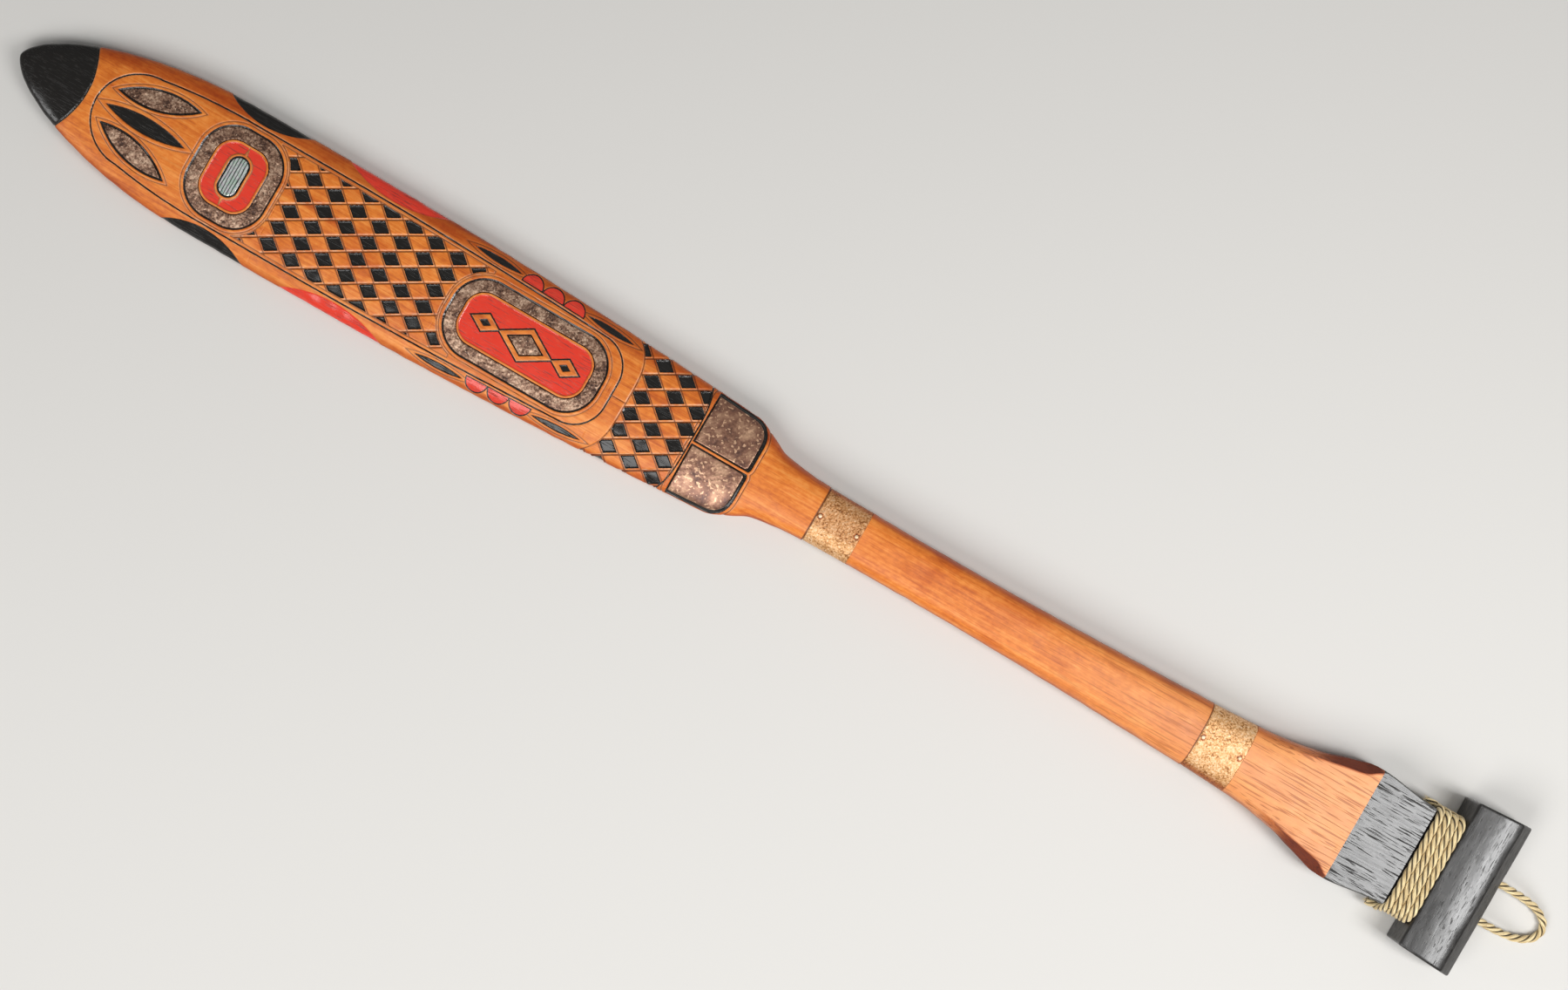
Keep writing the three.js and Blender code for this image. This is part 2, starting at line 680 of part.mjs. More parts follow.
// The crosspiece: a bar with a domed top, a bevel on its far side and ends that spread a little
function crosspiece() {
  const near = xOf(gripAt);
  const far = xOf(totalLength);
  const nearShoulder = gripHeight - gripShoulderDrop;
  const farShoulder = gripHeight - gripFarShoulderDrop;
  const crown = 2 * gripHeight - (farShoulder + nearShoulder) / 2;
  const shape = new THREE.Shape();
  shape.moveTo(near + gripEdge, 0);
  shape.lineTo(far - gripUnderBevel, 0);
  shape.lineTo(far, gripUnderBevel);
  shape.lineTo(far, gripHeight - gripBevelDrop);
  shape.lineTo(far - gripBevelDepth, farShoulder);
  shape.quadraticCurveTo((near + far) / 2, crown, near + gripEdge, nearShoulder);
  shape.lineTo(near, nearShoulder - gripEdge);
  shape.lineTo(near, gripEdge);
  const geometry = new THREE.ExtrudeGeometry(shape, {
    depth: gripLength - 2 * gripEdge, bevelEnabled: true, bevelThickness: gripEdge, bevelSize: gripEdge / 2,
    bevelOffset: -gripEdge / 2, bevelSegments: 2, curveSegments: outlineSteps,
  });
  geometry.translate(0, 0, gripEdge - gripLength / 2);
  geometry.rotateX(Math.PI / 2);
  const position = geometry.attributes.position;
  for (let i = 0; i < position.count; i += 1) {
    const across = Math.min(1, Math.max(0, (position.getX(i) - near) / gripDepth));
    const narrow = (gripNearLength + (gripLength - gripNearLength) * across) / gripLength;
    position.setY(i, position.getY(i) * narrow);
  }
  const mortise = new THREE.BoxGeometry(
    2 * (tenonLength + seatGap), tenonWidth + 2 * seatGap, tenonHeight + 2 * seatGap);
  mortise.translate(near, 0, tenonBottom + tenonHeight / 2);
  const holeRadius = loopDiameter / 2 + seatGap;
  const hole = new THREE.CylinderGeometry(holeRadius, holeRadius, 2 * loopHoleDepth, holeSides);
  hole.rotateZ(Math.PI / 2);
  let solid = solidFrom(geometry).subtract(solidFrom(mortise));
  for (const side of [1, -1]) {
    solid = solid.subtract(solidFrom(hole.clone().translate(far, side * loopSpacing / 2, loopHeight)));
  }
  return solid;
}
addPiece('cross_grip', geometryFrom(crosspiece()), blackPaint);

// A tube through points, with flat ends; its sides are counted from the line through hub
function tube(points, radius, sides, hub) {
  const rings = points.map((p, i) => {
    const before = points[Math.max(0, i - 1)];
    const after = points[Math.min(points.length - 1, i + 1)];
    const forward = after.clone().sub(before).normalize();
    const out = new THREE.Vector3(0, p.y - hub.y, p.z - hub.z);
    out.addScaledVector(forward, -out.dot(forward)).normalize();
    const across = forward.clone().cross(out);
    return Array.from({ length: sides }, (_, k) => {
      const angle = k / sides * 2 * Math.PI;
      const corner = p.clone().addScaledVector(out, radius * Math.cos(angle));
      return corner.addScaledVector(across, radius * Math.sin(angle));
    });
  });
  return loft(rings);
}

// The lashing is one rope. Its tail lies along the end block, it crosses the front of the neck once
// a turn, moves on to the next turn behind the neck, and its other end stays behind there
function lashingPath() {
  const offset = 2 * seatGap + ropeDiameter / 2;
  const corner = lashSeatCorner + offset;
  const side = lashSeatWidth / 2 + offset;
  const top = lashSeatTop + offset;
  const bottom = lashSeatBottom - offset;
  const firstAt = blockEnd + seatGap + ropeDiameter / 2;
  const tailAt = (along, rise = 0) => new THREE.Vector3(
    xOf(along), -halfWidthAt(along) - offset, tailHeight + rise);
  const bend = spread(0, Math.PI / 2, cornerSteps).map((angle) => tailAt(
    firstAt - tailBend * (1 - Math.sin(angle)), tailBend * (1 - Math.cos(angle))));
  const points = [
    tailAt(firstAt - tailLength),
    tailAt(firstAt - tailLength + ropeDiameter),
    tailAt(firstAt - tailBend),
    ...bend,
  ];
  // A quarter bend round a corner of the neck, turning clockwise as seen from the crosspiece
  const quarter = (along, right, upper, from) => {
    for (let i = 0; i <= cornerSteps; i += 1) {
      const angle = (from - i / cornerSteps) * Math.PI / 2;
      const y = right * (side - corner) + corner * Math.cos(angle);
      const z = (upper ? top - corner : bottom + corner) + corner * Math.sin(angle);
      points.push(new THREE.Vector3(xOf(along), y, z));
    }
  };
  for (let turn = 0; turn < ropeTurns; turn += 1) {
    const along = firstAt + turn * ropePitch;
    quarter(along, -1, true, 2);
    points.push(new THREE.Vector3(xOf(along), 0, top));
    quarter(along, 1, true, 1);
    quarter(along, 1, false, 0);
    if (turn < ropeTurns - 1) {
      points.push(new THREE.Vector3(xOf(along), 0, bottom));
      quarter(along + ropePitch, -1, false, -1);
    }
  }
  const lastX = xOf(firstAt + (ropeTurns - 1) * ropePitch);
  points.push(new THREE.Vector3(lastX, ropeEndOffset + ropeDiameter, bottom));
  points.push(new THREE.Vector3(lastX, ropeEndOffset, bottom));
  return points;
}

// The least air between stretches of the rope that lie further apart along it than one of its bends
function leastSelfGap(points, diameter, bendLength) {
  const finer = points.slice(1).flatMap(
    (p, i) => spread(0, 1, gapSamples).map((share) => points[i].clone().lerp(p, share)));
  const length = [0];
  for (let i = 1; i < finer.length; i += 1) length.push(length[i - 1] + finer[i].distanceTo(finer[i - 1]));
  let least = Infinity;
  for (let i = 0; i < finer.length; i += 1) {
    for (let j = i + 1; j < finer.length; j += 1) {
      const apart = length[j] - length[i] > bendLength;
      if (apart) least = Math.min(least, finer[i].distanceTo(finer[j]) - diameter);
    }
  }
  return least;
}

const lashing = lashingPath();
const lashHub = new THREE.Vector3(0, 0, (lashSeatTop + lashSeatBottom) / 2);
const lashGap = leastSelfGap(lashing, ropeDiameter, Math.PI * (tailBend + ropeDiameter / 2));
addPiece('rope_lashing', tube(lashing, ropeDiameter / 2, ropeSides, lashHub), rope);
console.log(`rope_lashing: least gap to itself ${lashGap.toFixed(2)} mm`);

// The loop: a rope that leaves one blind hole of the crosspiece, sags to the table and goes back
// into the other. Its route is a list of [out from the crosspiece, across, height] chosen by hand
const loopRoute = [
  [-11.6, 12.5, 12.5], [-5, 12.5, 12.5], [1, 12.5, 12.4], [8, 12.6, 11.2], [15.5, 12.5, 8.9],
  [23.5, 12.1, 6.2], [31, 10.9, 4.1], [37.4, 8.1, 3], [41.3, 3.6, 2.6], [41.6, -1.6, 2.5],
  [38.6, -6.2, 2.8], [32.9, -9.6, 3.8], [25.5, -11.5, 5.7], [17.5, -12.2, 8.3], [9, -12.5, 10.9],
  [1, -12.5, 12.4], [-5, -12.5, 12.5], [-11.6, -12.5, 12.5],
];
const loopCurve = new THREE.CatmullRomCurve3(
  loopRoute.map(([out, across, height]) => new THREE.Vector3(xOf(totalLength) + out, across, height)));
const loopSection = new THREE.Shape(Array.from({ length: loopSides }, (_, k) => {
  const angle = k / loopSides * 2 * Math.PI;
  return new THREE.Vector2(Math.cos(angle), Math.sin(angle)).multiplyScalar(loopDiameter / 2);
}));
const loop = new THREE.ExtrudeGeometry(loopSection, { steps: loopSteps, extrudePath: loopCurve });
addPiece('rope_loop', loop, rope);

export default paddle;
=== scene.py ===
"""Carved paddle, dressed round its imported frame: carved and painted cedar, let-in copper and shell,
hammered copper bands, laid rope and a black crosspiece. Lengths are millimetres along from the
blade's tip, across and up, and to_points turns them into metres in the frame. Run as a script."""

from functools import partial

import bpy
import numpy as np
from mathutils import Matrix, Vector


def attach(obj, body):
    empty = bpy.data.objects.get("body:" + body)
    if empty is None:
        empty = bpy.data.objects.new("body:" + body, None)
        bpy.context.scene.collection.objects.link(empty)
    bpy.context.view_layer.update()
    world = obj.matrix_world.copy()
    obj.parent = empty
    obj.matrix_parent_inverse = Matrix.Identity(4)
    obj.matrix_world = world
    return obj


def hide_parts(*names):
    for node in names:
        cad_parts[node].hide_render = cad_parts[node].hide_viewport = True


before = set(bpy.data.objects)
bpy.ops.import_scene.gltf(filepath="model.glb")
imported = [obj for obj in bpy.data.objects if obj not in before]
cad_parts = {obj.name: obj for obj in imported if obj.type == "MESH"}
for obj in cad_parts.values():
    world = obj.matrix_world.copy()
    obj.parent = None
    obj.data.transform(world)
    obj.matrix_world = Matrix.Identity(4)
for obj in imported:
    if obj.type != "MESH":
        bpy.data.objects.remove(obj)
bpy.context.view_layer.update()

bl_info = {
    "name": "Carved paddle",
    "version": (1, 0, 0),
    "blender": (4, 5, 0),
    "location": "View3D > Sidebar > Paddle",
    "description": "Makes the wood, copper, shell and rope of a carved paddle",
    "category": "Add Mesh",
}

MM = 0.001
BODY = "root"
TURN = 2 * np.pi
QUARTER = np.pi / 2

# Places along the paddle, from the tip of the blade
TIP_END = 140
PARALLEL_END = 200
ROOT_AT = 485
BLADE_END = 498
NECK_AT = 541
WAIST_AT = 614
SHAFT_END = 833
SQUARE_BY = 885
FLARE_AT = 903
PAINT_AT = 906
BLOCK_END = 943
GRIP_AT = 963.5
TOTAL = 1000

# The wood's air gap to other pieces, its bands and the seat of the lashing
GAP = 0.3
BAND_STARTS = (544, 802)
BAND_WIDTH = 28.5
BAND_THICKNESS = 0.8
BAND_SINK = 0.4
BAND_SEAM = 0.8
BAND_COVER = 0.25
TACK_INSET = 2
SEAT = dict(width=61.2, bottom=6.4, top=25, corner=5)
LASHING_START = 1.4
HOLE_AT = 12.5
BLADE_SEAMS = (0, 178.5, 292, 401.5, BAND_STARTS[0] - GAP)

# Places of the let-in copper and shell
INLAY_SINK = 0.2
RECESS_CLEARANCE = 0.25
COPPER = 0.8
SHELL = 1.6
SMALL_RING = dict(at=148, length=50, width=57, corner=20)
SMALL_RIM = 7.5
SHELL_PLATE = dict(at=148, length=11, width=24, corner=5.4)
LONG_RING = dict(at=346, length=100, width=48, corner=20)
LONG_RIM = 7
LOZENGE = (346, 22, 13)
LEAF = (88, 46, 11, 17, 14)
PLATE_HEEL = 2.5
PLATE_LENGTH = 35
PLATE_RIDGE = 1.7
PLATE_EDGE = 2.6
PLATE_CORNER = 13
PLATE_SMALL_CORNER = 2


def linear(hex_colour):
    """An sRGB hex colour as linear red, green and blue with full alpha."""
    channels = np.array([int(hex_colour[i:i + 2], 16) for i in (1, 3, 5)]) / 255
    high = ((channels + 0.055) / 1.055) ** 2.4
    return (*np.where(channels <= 0.04045, channels / 12.92, high).tolist(), 1.0)


def colour(name, description, hex_colour):
    return bpy.props.FloatVectorProperty(
        name=name, description=description, subtype="COLOR", size=4, min=0, max=1,
        default=linear(hex_colour))


def length(name, description, millimetres):
    return bpy.props.FloatProperty(
        name=name, description=description, unit="LENGTH", min=0, default=millimetres * MM)


def angle(name, description, degrees):
    return bpy.props.FloatProperty(
        name=name, description=description, unit="ROTATION", default=np.radians(degrees))


def power(name, description, watts):
    return bpy.props.FloatProperty(
        name=name, description=description, unit="POWER", min=0, default=watts)


class PaddleWoodSettings(bpy.types.PropertyGroup):
    light: colour("Early wood", "Pale growth between the grain lines", "#F09645")
    middle: colour("Heart wood", "The wood's main colour", "#E37E2C")
    dark: colour("Late wood", "Dark grain lines", "#C25F20")
    pore: colour("Pores", "Short dark dashes of open grain", "#9A4E22")
    pale: colour("Sap wood", "Paler wood towards the grip", "#F2AF76")
    # Painted highlight: the pale colour laid on the slopes of the cuts, where light would catch them
    burnish_and_highlight: colour("Rubbed edges", "Slopes of the cuts, rubbed pale", "#F8CBA0")
    # Painted shade: the dark colour laid in the cuts and in the bands' beds
    stain: colour("Stained cuts", "Oil and dirt left in the carved cuts", "#6B3512")
    black: colour("Black paint", "Carved fields, tip and grip end", "#1E1C1A")
    black_worn: colour("Worn black", "Thin paint over raised grain", "#403D3A")
    red: colour("Red paint", "Fields in the rings and along the edges", "#E23F2E")
    red_worn: colour("Worn red", "Thin paint over raised grain", "#E0664C")
    fibre: length("Fibre spacing", "Distance between the fine grain lines", 0.9)
    ripple: length("Tool ripple", "Height of the unevenness that hand tools leave", 0.06)


class PaddleCarvingSettings(bpy.types.PropertyGroup):
    groove_width: length("Groove width", "Width of the V-cut outlines", 1.5)
    groove_depth: length("Groove depth", "Depth of the V-cut outlines", 0.75)
    field_depth: length("Field depth", "How far the painted fields are sunk", 0.8)
    wall: length("Wall run", "Width of the slope down into a field", 0.55)
    border: length("Border width", "Plain border between the panel and the edge", 9.8)
    lattice_pitch: length("Lattice pitch", "Length of a diamond along the paddle", 16)
    lattice_rise: length("Lattice rise", "Width of a diamond across the paddle", 11.6)
    lattice_tilt: angle("Lattice tilt", "Slant of the rows of diamonds", 5.5)


class PaddleCopperSettings(bpy.types.PropertyGroup):
    dark: colour("Patina", "Darkest spots of the let-in copper", "#4A342B")
    middle: colour("Aged copper", "Main colour of the let-in copper", "#8C6853")
    light: colour("Rubbed copper", "Rubbed spots of the let-in copper", "#E3C2A6")
    purple: colour("Purple patina", "Dark clouds on the plates at the root", "#3D2A2E")
    mauve: colour("Mauve patina", "Main colour of the plates at the root", "#8F6652")
    rosy: colour("Rosy copper", "Rubbed parts of the plates at the root", "#E6BA96")
    band_dark: colour("Band hollows", "Hollows of the hammered bands", "#97612F")
    band_middle: colour("Band copper", "Main colour of the bands", "#DCA468")
    band_light: colour("Band heights", "Heights of the hammered bands", "#F7D6AE")
    burnish_and_highlight: colour("Tack heads", "Heads of the tacks, rubbed bright", "#FBE3D2")
    growth: colour("Shell lines", "Dark growth lines of the shell", "#3E4440")
    dent: length("Dent size", "Distance between hammer dents", 2.2)
    dent_depth: length("Dent depth", "Depth of the hammer dents", 0.09)


class PaddleRopeSettings(bpy.types.PropertyGroup):
    diameter: length("Lashing rope", "Diameter of the rope round the neck", 4.75)
    loop_diameter: length("Loop rope", "Diameter of the rope of the loop", 4.8)
    lay: length("Lay", "Length of one full twist of the strands", 19)
    pitch: length("Pitch", "Distance between turns of the lashing", 4.72)
    turns: bpy.props.IntProperty(
        name="Turns", description="Turns of the lashing round the neck", subtype="UNSIGNED",
        default=4, min=1, max=6)
    light: colour("Fibre", "Lit fibres", "#FFECBA")
    dark: colour("Dull fibre", "Darker fibres of a strand", "#A37D40")
    # Painted shade between the strands
    gap: colour("Gaps", "Shadowed fibres between the strands", "#38280F")


class PaddleStageSettings(bpy.types.PropertyGroup):
    camera_along: length("Camera place", "Where the camera stands, from the tip", 521.5)
    camera_height: length("Camera height", "Height of the camera over the floor", 1250)
    lens: bpy.props.FloatProperty(
        name="Lens", description="Focal length", unit="CAMERA", default=48.1, min=10)
    turn: angle("Turn", "How far the paddle runs down to the right", 30.01)
    floor: colour("Floor", "Plain pale floor", "#D9D7D3")
    key: power("Key light", "Power of the large lamp", 12)
    fill: power("Fill light", "Power of the lamp on the other side", 0.8)
    glare: power("Glare light", "Power of the lamp that shines on the grip end", 14)
    sheen: power("Sheen light", "Power of the small lamp overhead", 2.3)
    side: power("Side light", "Power of the small low lamp beside the tip", 1.2)
    sky: bpy.props.FloatProperty(
        name="Sky", description="Strength of the even light from all round", subtype="FACTOR",
        default=0.17, min=0)


# Shape of the wood

SIDE_FULLNESS = 0.62
HEIGHT_FULLNESS = 0.42
FACET_SLOPE = 2
SIDE_SHARE = 0.3
FACET_SHARE = 0.2


def rail(*pairs):
    """A smooth rail through (place, value) pairs: a monotone cubic whose tangent at each inner place
    is the harmonic mean of the slopes on both sides, or nought where they turn round."""
    at, value = np.array(pairs, float).T
    slope = np.diff(value) / np.diff(at)
    both = slope[:-1] * slope[1:]
    total = slope[:-1] + slope[1:]
    tangent = np.zeros(len(at))
    tangent[1:-1] = np.where(both > 0, 2 * both / np.where(both > 0, total, 1), 0)

    def value_at(place):
        place = np.clip(place, at[0], at[-1])
        i = np.clip(np.searchsorted(at, place, side="right") - 1, 0, len(at) - 2)
        span = at[i + 1] - at[i]
        t = (place - at[i]) / span
        rise = t * t * (3 - 2 * t)
        leave = tangent[i] * t * (1 - t) ** 2 * span
        arrive = tangent[i + 1] * t * t * (t - 1) * span
        return value[i] * (1 - rise) + value[i + 1] * rise + leave + arrive

    return value_at


half_width_rail = rail(
    (PARALLEL_END, 43), (ROOT_AT, 32.4), (BLADE_END, 27.6), (512.2, 21.1), (NECK_AT, 17.9),
    (WAIST_AT, 16.7), (SHAFT_END, 22), (868, 26.72), (893, 33.8), (FLARE_AT, 36.3),
    (BLOCK_END, 32.2))
top_rail = rail((PARALLEL_END, 20), (ROOT_AT, 24), (NECK_AT, 26.2), (FLARE_AT, 28.4))
bottom_rail = rail((ROOT_AT, -0.5), (NECK_AT, 2.2), (FLARE_AT, 2.4))
edge_rail = rail((PARALLEL_END, 10), (NECK_AT, 14.2), (FLARE_AT, 15.4))
facet_rail = rail((868, 2.8), (897.5, 5.5), (908.5, 0.8))
square_rail = rail((SHAFT_END, 0), (SQUARE_BY, 1))
power_rail = rail((BLADE_END, 2), (NECK_AT, 2.8))


def smooth_step(low, high, value):
    """0 up to low and 1 from high on, with t^2 (3 - 2 t) between them."""
    t = np.clip((value - low) / (high - low), 0, 1)
    return t * t * (3 - 2 * t)


def growth(along, fullness):
    """How far the rounded tip has filled out: (1 - (1 - along / tip length)^2) to the fullness."""
    back = np.clip(1 - along / TIP_END, 0, 1)
    return (1 - back * back) ** fullness


def half_width(along):
    return half_width_rail(along) * growth(along, SIDE_FULLNESS)


def side_share(turn):
    """0 at the middle of either side and 1 on top and below, even in turn between them."""
    return np.arcsin(np.clip(np.abs(np.sin(turn)), 0, 1)) / QUARTER


def painted_side_shade(turn):
    """0.4 along the sides, painted shade that darkens the wood there, wider on the +Y side."""
    share = side_share(turn)
    wide, narrow = smooth_step(0.64, 0.28, share), smooth_step(0.36, 0.08, share)
    return 0.4 * np.where(np.cos(turn) > 0, wide, narrow)


def section(along, turn, inset=0.0):
    """The wood's section at a place and a turn round it, counted from +Y upwards. On the blade it is
    an oval, y = half cos(turn), z = edge + rise sin(turn), and on the shaft a fuller one, where the
    sine and cosine are taken to the power 2 / power. At the flare each quarter becomes a straight
    side, a facet and a flat face, and the forms are blended."""
    fill = growth(along, HEIGHT_FULLNESS)
    edge = edge_rail(along)
    half = half_width(along) - inset
    up = (top_rail(along) - edge) * fill - inset
    down = (edge - bottom_rail(along)) * fill - inset
    rise = np.where(np.sin(turn) >= 0, up, down)
    share = side_share(turn)
    corner = np.clip((share - SIDE_SHARE) / FACET_SHARE, 0, 1)
    climb = np.minimum(1, share / SIDE_SHARE)
    run = np.minimum(1, (1 - share) / (1 - SIDE_SHARE - FACET_SHARE))
    facet = facet_rail(along)
    block_y = np.where(corner < 1, half - facet * corner, (half - facet) * run)
    block_z = (rise - facet * FACET_SLOPE) * climb + facet * FACET_SLOPE * corner
    square = square_rail(along)
    power = 2 / power_rail(along)
    round_y = half * np.abs(np.cos(turn)) ** power
    round_z = rise * np.abs(np.sin(turn)) ** power
    y = np.sign(np.cos(turn)) * (round_y * (1 - square) + block_y * square)
    z = np.sign(np.sin(turn)) * (round_z * (1 - square) + block_z * square)
    return y, np.maximum(0, edge + z)


def top_height(along, across):
    """Height of the blade's dome over a place in plan: edge + rise sqrt(1 - (across / half)^2)."""
    share = np.clip(across / half_width(along), -1, 1)
    rise = (top_rail(along) - edge_rail(along)) * growth(along, HEIGHT_FULLNESS)
    return edge_rail(along) + rise * np.sqrt(1 - share * share)


# Points, routes and outlines


def to_points(along, across, up):
    """Points in the frame, in metres, from places in millimetres."""
    return np.stack(np.broadcast_arrays(along - TOTAL / 2, across, up), axis=-1) * MM


def unit(vectors):
    """Vectors made one long."""
    return vectors / np.maximum(np.linalg.norm(vectors, axis=-1, keepdims=True), 1e-12)


def outward(points):
    """Unit normals of a grid whose columns close on themselves."""
    across = np.roll(points, -1, axis=1) - np.roll(points, 1, axis=1)
    return unit(np.cross(across, np.gradient(points, axis=0)))


def ripple(points, size, seed, waves=28):
    """A smooth random field over points in metres, with hollows about size apart: the sum of plane
    waves of that length in seeded random directions, with a spread of 1."""
    random = np.random.default_rng(seed)
    direction = random.normal(size=(3, waves))
    direction /= np.linalg.norm(direction, axis=0)
    wavelength = size * random.uniform(0.75, 1.35, waves)
    phase = random.uniform(0, TURN, waves)
    total = np.zeros(points.shape[:-1])
    for i in range(waves):
        total += np.cos(points @ direction[:, i] * TURN / wavelength[i] + phase[i])
    return total * np.sqrt(2 / waves)


def run_lengths(points):
    """The length of a route up to each of its points."""
    return np.concatenate([[0], np.cumsum(np.linalg.norm(np.diff(points, axis=0), axis=1))])


def resample(points, step):
    """Points an even step apart along a route."""
    run = run_lengths(points)
    at = np.linspace(0, run[-1], int(run[-1] / step) + 1)
    return np.stack([np.interp(at, run, column) for column in points.T], axis=-1)


def evenly(outline, count):
    """A closed outline as that many points an even step apart."""
    closed = np.concatenate([outline, outline[:1]])
    run = run_lengths(closed)
    at = np.linspace(0, run[-1], count, endpoint=False)
    return np.stack([np.interp(at, run, column) for column in closed.T], axis=-1)


def bend(a, b, c, steps):
    """A quadratic curve from a to c, drawn towards b: a (1 - t)^2 + 2 b t (1 - t) + c t^2."""
    a, b, c = (np.array(p, float) for p in (a, b, c))
    t = np.linspace(0, 1, steps)[:, None]
    return a * (1 - t) ** 2 + 2 * b * t * (1 - t) + c * t * t


def straight(a, b, count):
    """The inner points of a line cut into that many lengths."""
    share = np.linspace(0, 1, count + 1)[1:-1, None]
    return np.array(a) * (1 - share) + np.array(b) * share


def corner_signs(turn):
    """Which quarter a turn is in, and the signs of the two coordinates of that quarter's corner."""
    quarter = np.floor(turn / QUARTER)
    return quarter, np.where((quarter == 0) | (quarter == 3), 1, -1), np.where(quarter < 2, 1, -1)


def box_outline(at, length, width, corner, count=160):
    """Outline of a rounded box, as (along, across): each quarter turn sweeps one corner."""
    turn = np.linspace(0, TURN, 1200, endpoint=False)
    _, right, upper = corner_signs(turn)
    return evenly(np.stack([
        at + right * (length / 2 - corner) + corner * np.cos(turn),
        upper * (width / 2 - corner) + corner * np.sin(turn)], axis=-1), count)


def leaf_outline(side):
    """Outline of the copper leaf on one side: two equal arcs, turned about their middle."""
    at, length, width, offset, degrees = LEAF
    radius = (length * length + width * width) / (4 * width)
    half = np.arcsin(length / 2 / radius)
    angle = np.linspace(half, -half, 60, endpoint=False)
    x = radius * np.sin(angle)
    y = radius * np.cos(angle) - (radius - width / 2)
    x, y = np.concatenate([x, -x]), np.concatenate([y, -y])
    cosine, sine = np.cos(np.radians(degrees)), np.sin(np.radians(side * degrees))
    return np.stack([at + x * cosine - y * sine, side * offset + x * sine + y * cosine], axis=-1)


def lozenge_outline():
    at, length, width = LOZENGE
    return evenly(np.array([
        (at + length / 2, 0), (at, width / 2), (at - length / 2, 0), (at, -width / 2)]), 96)


def plate_outline(side):
    """Outline of a root plate, from the ridge round its small corner and its large outer one."""
    end, ridge, small = BLADE_END - PLATE_HEEL, PLATE_RIDGE, PLATE_SMALL_CORNER
    start, turn_at = end - PLATE_LENGTH, end - PLATE_CORNER
    outer = half_width(turn_at) - PLATE_EDGE
    edge_at = np.linspace(turn_at, start, 24)[1:]
    edge = np.stack([edge_at, half_width(edge_at) - PLATE_EDGE], axis=-1)
    near = bend((end - small, ridge), (end, ridge), (end, ridge + small), 12)
    far = bend((end, outer - PLATE_CORNER), (end, outer), (turn_at, outer), 12)
    return np.concatenate([
        [(start, ridge)], straight((start, ridge), (end - small, ridge), 24), near,
        straight(near[-1], far[0], 12), far, edge,
        straight(edge[-1], (start, ridge), 24)]) * (1, side)


def on_blade(plan, below):
    """Points that lie a depth below the blade's dome over places in plan."""
    along, across = plan[..., 0], plan[..., 1]
    return to_points(along, across, top_height(along, across) - below)


# Meshes


def skin(name, grid, fields=None, uv_step=None, wrap=False, seams=50):
    """A closed mesh over a grid of points, rows by columns. Columns close on themselves. Rows close
    too if wrap is true, and otherwise each end is closed with a fan to its middle point. fields are
    named values for each point, and uv_step is the size of a grid step along and across in the UV
    map. Edges sharper than seams degrees are drawn sharp."""
    shape = grid.shape[:2]
    index = np.arange(shape[0] * shape[1]).reshape(shape)
    beside = np.roll(index, -1, axis=1)
    quads = np.stack([index, beside, np.roll(beside, -1, axis=0), np.roll(index, -1, axis=0)], axis=-1)
    quads = quads if wrap else quads[:-1]
    places = np.stack(np.indices(quads.shape[:2]), axis=-1)[:, :, None, :]
    uvs = places + np.array([(0, 0), (0, 1), (1, 1), (1, 0)])
    quads = quads.reshape(-1, 4)
    a, b, c, d = (grid.reshape(-1, 3)[quads[:, i]] for i in range(4))
    volume = np.einsum("ij,ij->i", a, np.cross(b, c)).sum() + np.einsum(
        "ij,ij->i", a, np.cross(c, d)).sum()
    order = -1 if volume < 0 else 1
    points = [grid.reshape(-1, 3)]
    values = {key: [np.broadcast_to(value, shape).ravel()] for key, value in (fields or {}).items()}
    faces = quads[:, ::order].tolist()
    for number, (end, turn) in enumerate(() if wrap else ((0, -order), (-1, order))):
        middle = np.full(shape[1], index.size + number)
        faces += np.stack([index[end], beside[end], middle], axis=-1)[:, ::turn].tolist()
        points.append(grid[end].mean(axis=0)[None, :])
        for parts in values.values():
            parts.append([parts[0].reshape(shape)[end].mean()])
    mesh = bpy.data.meshes.new(name)
    mesh.from_pydata(np.concatenate(points).tolist(), [], faces)
    if uv_step:
        corners = np.zeros((len(mesh.loops), 2))
        corners[:quads.size] = (uvs.reshape(-1, 4, 2)[:, ::order] * uv_step).reshape(-1, 2)
        mesh.uv_layers.new(name="UVMap").data.foreach_set("uv", corners.ravel())
    for key, parts in values.items():
        field = mesh.attributes.new(key, "FLOAT", "POINT")
        field.data.foreach_set("value", np.concatenate(parts).astype(np.float32))
    mesh.polygons.foreach_set("use_smooth", np.ones(len(mesh.polygons), bool))
    mesh.set_sharp_from_angle(angle=np.radians(seams))
    mesh.update()
    return add_object(name, mesh)


def add_object(name, data):
    """A new object of that name in the scene."""
    made = bpy.data.objects.new(name, data)
    bpy.context.scene.collection.objects.link(made)
    return made


def finish_piece(piece, finish, node):
    """Gives a piece its material, lets it ride on the paddle and stand for its CAD node."""
    piece.data.materials.append(material_named(finish))
    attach(piece, BODY)
    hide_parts(node)


# Signed distances in plan, in millimetres, below nought inside


def rounded_box(along, across, at, length, width, corner):
    """Distance to a box of length by width about (at, 0) with round corners."""
    out = np.abs(along - at) - (length / 2 - corner)
    side = np.abs(across) - (width / 2 - corner)
    outside = np.hypot(np.maximum(out, 0), np.maximum(side, 0))
    return outside + np.minimum(np.maximum(out, side), 0) - corner


def lens(along, across, at, length, width):
    """Distance to the overlap of two equal discs, a leaf with a point at each end."""
    radius = (length * length + width * width) / (4 * width)
    return np.hypot(along - at, np.abs(across) + radius - width / 2) - radius


def lozenge(along, across, at, length, width):
    """Distance to a diamond of length by width about (at, 0)."""
    over = np.abs(along - at) * width + np.abs(across) * length - length * width / 2
    return over / np.hypot(length, width)


